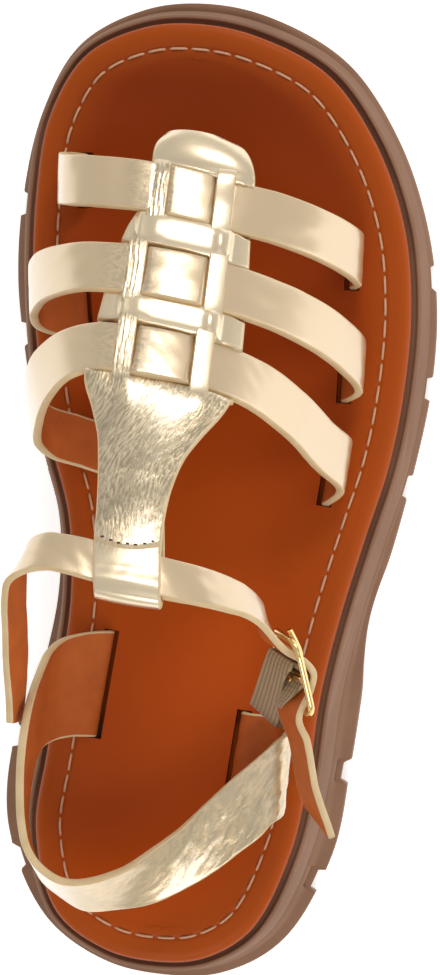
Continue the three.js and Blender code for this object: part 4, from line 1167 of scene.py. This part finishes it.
eye = bar_radius + GAP + PRONG_WIRE / 2
curl = np.radians([-45, -10, 30, 70])
lift = strap_over_bar - ANKLE_THICKNESS
prong_line = at_buckle(
    np.concatenate([eye * np.cos(curl), np.array([-0.15, -0.4, -0.7, -1]) * half_length, [-half_length - WIRE / 2]]),
    0.0,
    np.concatenate([eye * np.sin(curl), [lift + 0.1, lift + 0.6, lift + 0.2, eye + 0.1, eye - 0.1]]),
)
prong = rod(flowing(prong_line, 6), PRONG_WIRE / 2, buckle_up, sides=12)
add_piece("buckle_pin", prong, [brass], "buckle_prong")

# Buckle holder: a strip of ribbed elastic, folded round the middle bar and sewn to the lining of the outer
# quarter, its ribs running lengthwise.
ELASTIC_RIB_PITCH = 1.2
ELASTIC_RIB_HEIGHT = 0.05
WEFT_PITCH = 0.7
WAVE_TURN = 6.283  # a wave texture's phase over one unit of its scale
# rows of the strip in millimetres at the buckle: along, up and out for its lower edge, then for its upper edge.
# It runs up inside from the quarter, folds loosely before the bar, passes over it and comes down outside.
HOLDER_ROWS = table("""
14.5 -20.1 -5.1 20.1 -12.8 -2.4
8.3 -14.2 -5.4 13.2 -7.7 -3.3
2.2 -9.2 -5.2 6.4 -3.0 -3.7
-2.6 -6.2 -4.3 0.6 0.7 -3.2
-5.2 -5.2 -3.2 -3.1 3.6 -1.9
-6.2 -4.7 -2.4 -4.5 4.6 -0.8
-5.4 -4.6 -1.2 -4.0 4.7 0.0
-2.6 -4.7 1.0 -2.2 4.8 1.3
0.0 -4.8 2.1 0.0 4.8 2.1
2.2 -4.8 0.6 2.0 4.6 1.2
5.0 -5.6 -2.2 4.6 2.6 -0.9
9.1 -9.3 -2.4 8.6 -1.7 -3.0
12.4 -14.0 -2.2 13.1 -5.8 -2.2
15.0 -18.2 -1.8 17.9 -10.2 -0.4
16.2 -20.3 -1.6 20.7 -12.9 0.2
""")
edges = [at_buckle(*rows.T) for rows in np.hsplit(HOLDER_ROWS, 2)]
elastic = new_finish("woven_elastic_taupe")
place = node(elastic, "UVMap", "UV", uv_map="strip")


def waves(scale, distortion, across):
    """Even waves over the elastic, square to its X (length) or Y (width)."""
    inputs = {"Vector": place, "Scale": scale, "Distortion": distortion}
    return node(elastic, "TexWave", "Fac", inputs, bands_direction=across)


weft = waves(1 / (WEFT_PITCH * MILLIMETRE) / WAVE_TURN, 0.6, "X")
rib = waves(1 / (ELASTIC_RIB_PITCH * MILLIMETRE) / WAVE_TURN * 2, 0.3, "Y")
dress(elastic, {
    "Base Color": blend(elastic, rib, "#7d6140", "#a4885e"),
    "Normal": bump(elastic, weft, 0.5, 0.12 * MILLIMETRE),
    "Roughness": 0.85,
    "Sheen Weight": 0.25,
})
holder = strip(
    edges, 8, ELASTIC_THICKNESS, columns=50, corner=0.35, lining_columns=50,
    shape=lambda run, a, *_: ELASTIC_RIB_HEIGHT * (np.cos(a / ELASTIC_RIB_PITCH * 2 * np.pi) - 1) / 2,
)
add_piece("elastic_holder", holder, [elastic], "buckle_holder")

# Footbed stitching: waxed peach thread in a running lock stitch, one short bowed strand a pitch, each end
# diving into its hole in the channel.
STITCH_PITCH = 5.5
STITCH_LENGTH = 4.3
THREAD = 0.65
STITCH_BOW = 0.05
STITCH_DIVE = 0.55
line, outward, _ = footbed_outline(FOOTBED_FINENESS)
seam = line - outward * STITCH_LINE
seam = np.vstack([seam, seam[:1]])
seam = np.column_stack([seam, footbed_top(seam[:, 1]) - LID_DROP])
run = np.concatenate([[0], np.cumsum(np.linalg.norm(np.diff(seam, axis=0), axis=1))])
stitches = int(run[-1] / STITCH_PITCH)
pitch = run[-1] / stitches
reach = np.linspace(-1, 1, 9)[None]
places = (np.arange(stitches)[:, None] + 0.5) * pitch + reach * STITCH_LENGTH / 2
strands = np.stack([np.interp(places, run, seam[:, k]) for k in range(3)], axis=-1)
strands[..., 2] += STITCH_BOW - STITCH_DIVE * np.abs(reach) ** 4
thread = new_finish("waxed_thread_peach")
twist = noise(thread, node(thread, "TexCoord", "Object"), 0.5)
dress(thread, {"Base Color": blend(thread, twist, "#b98664", "#d8a986"), "Roughness": 0.6})
stitching = together([rod(one, THREAD / 2, (0, 0, 1), sides=8) for one in strands])
add_piece("footbed_stitches", stitching, [thread])

# Seam stitches: the neck is sewn down on the loop in brown thread, pulled so tight that each short strand lies
# sunk in its hole, 0.9 mm from the raw edge. The thread's dark brown is partly the painted shade of the stitch
# holes.
SEAM_STITCHES = 7
SEAM_MARGIN = 0.9
SEAM_THREAD = 0.52
SEAM_HALF_STITCH = 2  # columns of the spine's grid to either side
ring_size = len(spine[0]) // spine_rings
face = spine[0][: spine_rings * ring_size].reshape(spine_rings, ring_size, 3)
face_run = spine[3][: spine_rings * ring_size, 0].reshape(spine_rings, ring_size) / MILLIMETRE
column = np.linspace(8, 71, SEAM_STITCHES).astype(int)
off_seam = np.abs(face[:, column, 1] - seam_line(column / (SPINE_COLUMNS - 1)) - SEAM_MARGIN)
nearest = np.argmin(off_seam + 100 * (face_run[:, column] > NECK_END - 3), axis=0)
strands = np.stack([face[nearest, column + k] for k in (-SEAM_HALF_STITCH, 0, SEAM_HALF_STITCH)], axis=1)
# The thread's dark brown is partly the painted shade of its stitch holes.
brown = plain_leather("seam_thread_and_hole_shade", "#6e4a2f", "#5c3b24", 0.7)
seam_stitches = together([rod(one, SEAM_THREAD / 2, (0, 0, 1), sides=8) for one in strands])
add_piece("seam_stitches", seam_stitches, [brown])
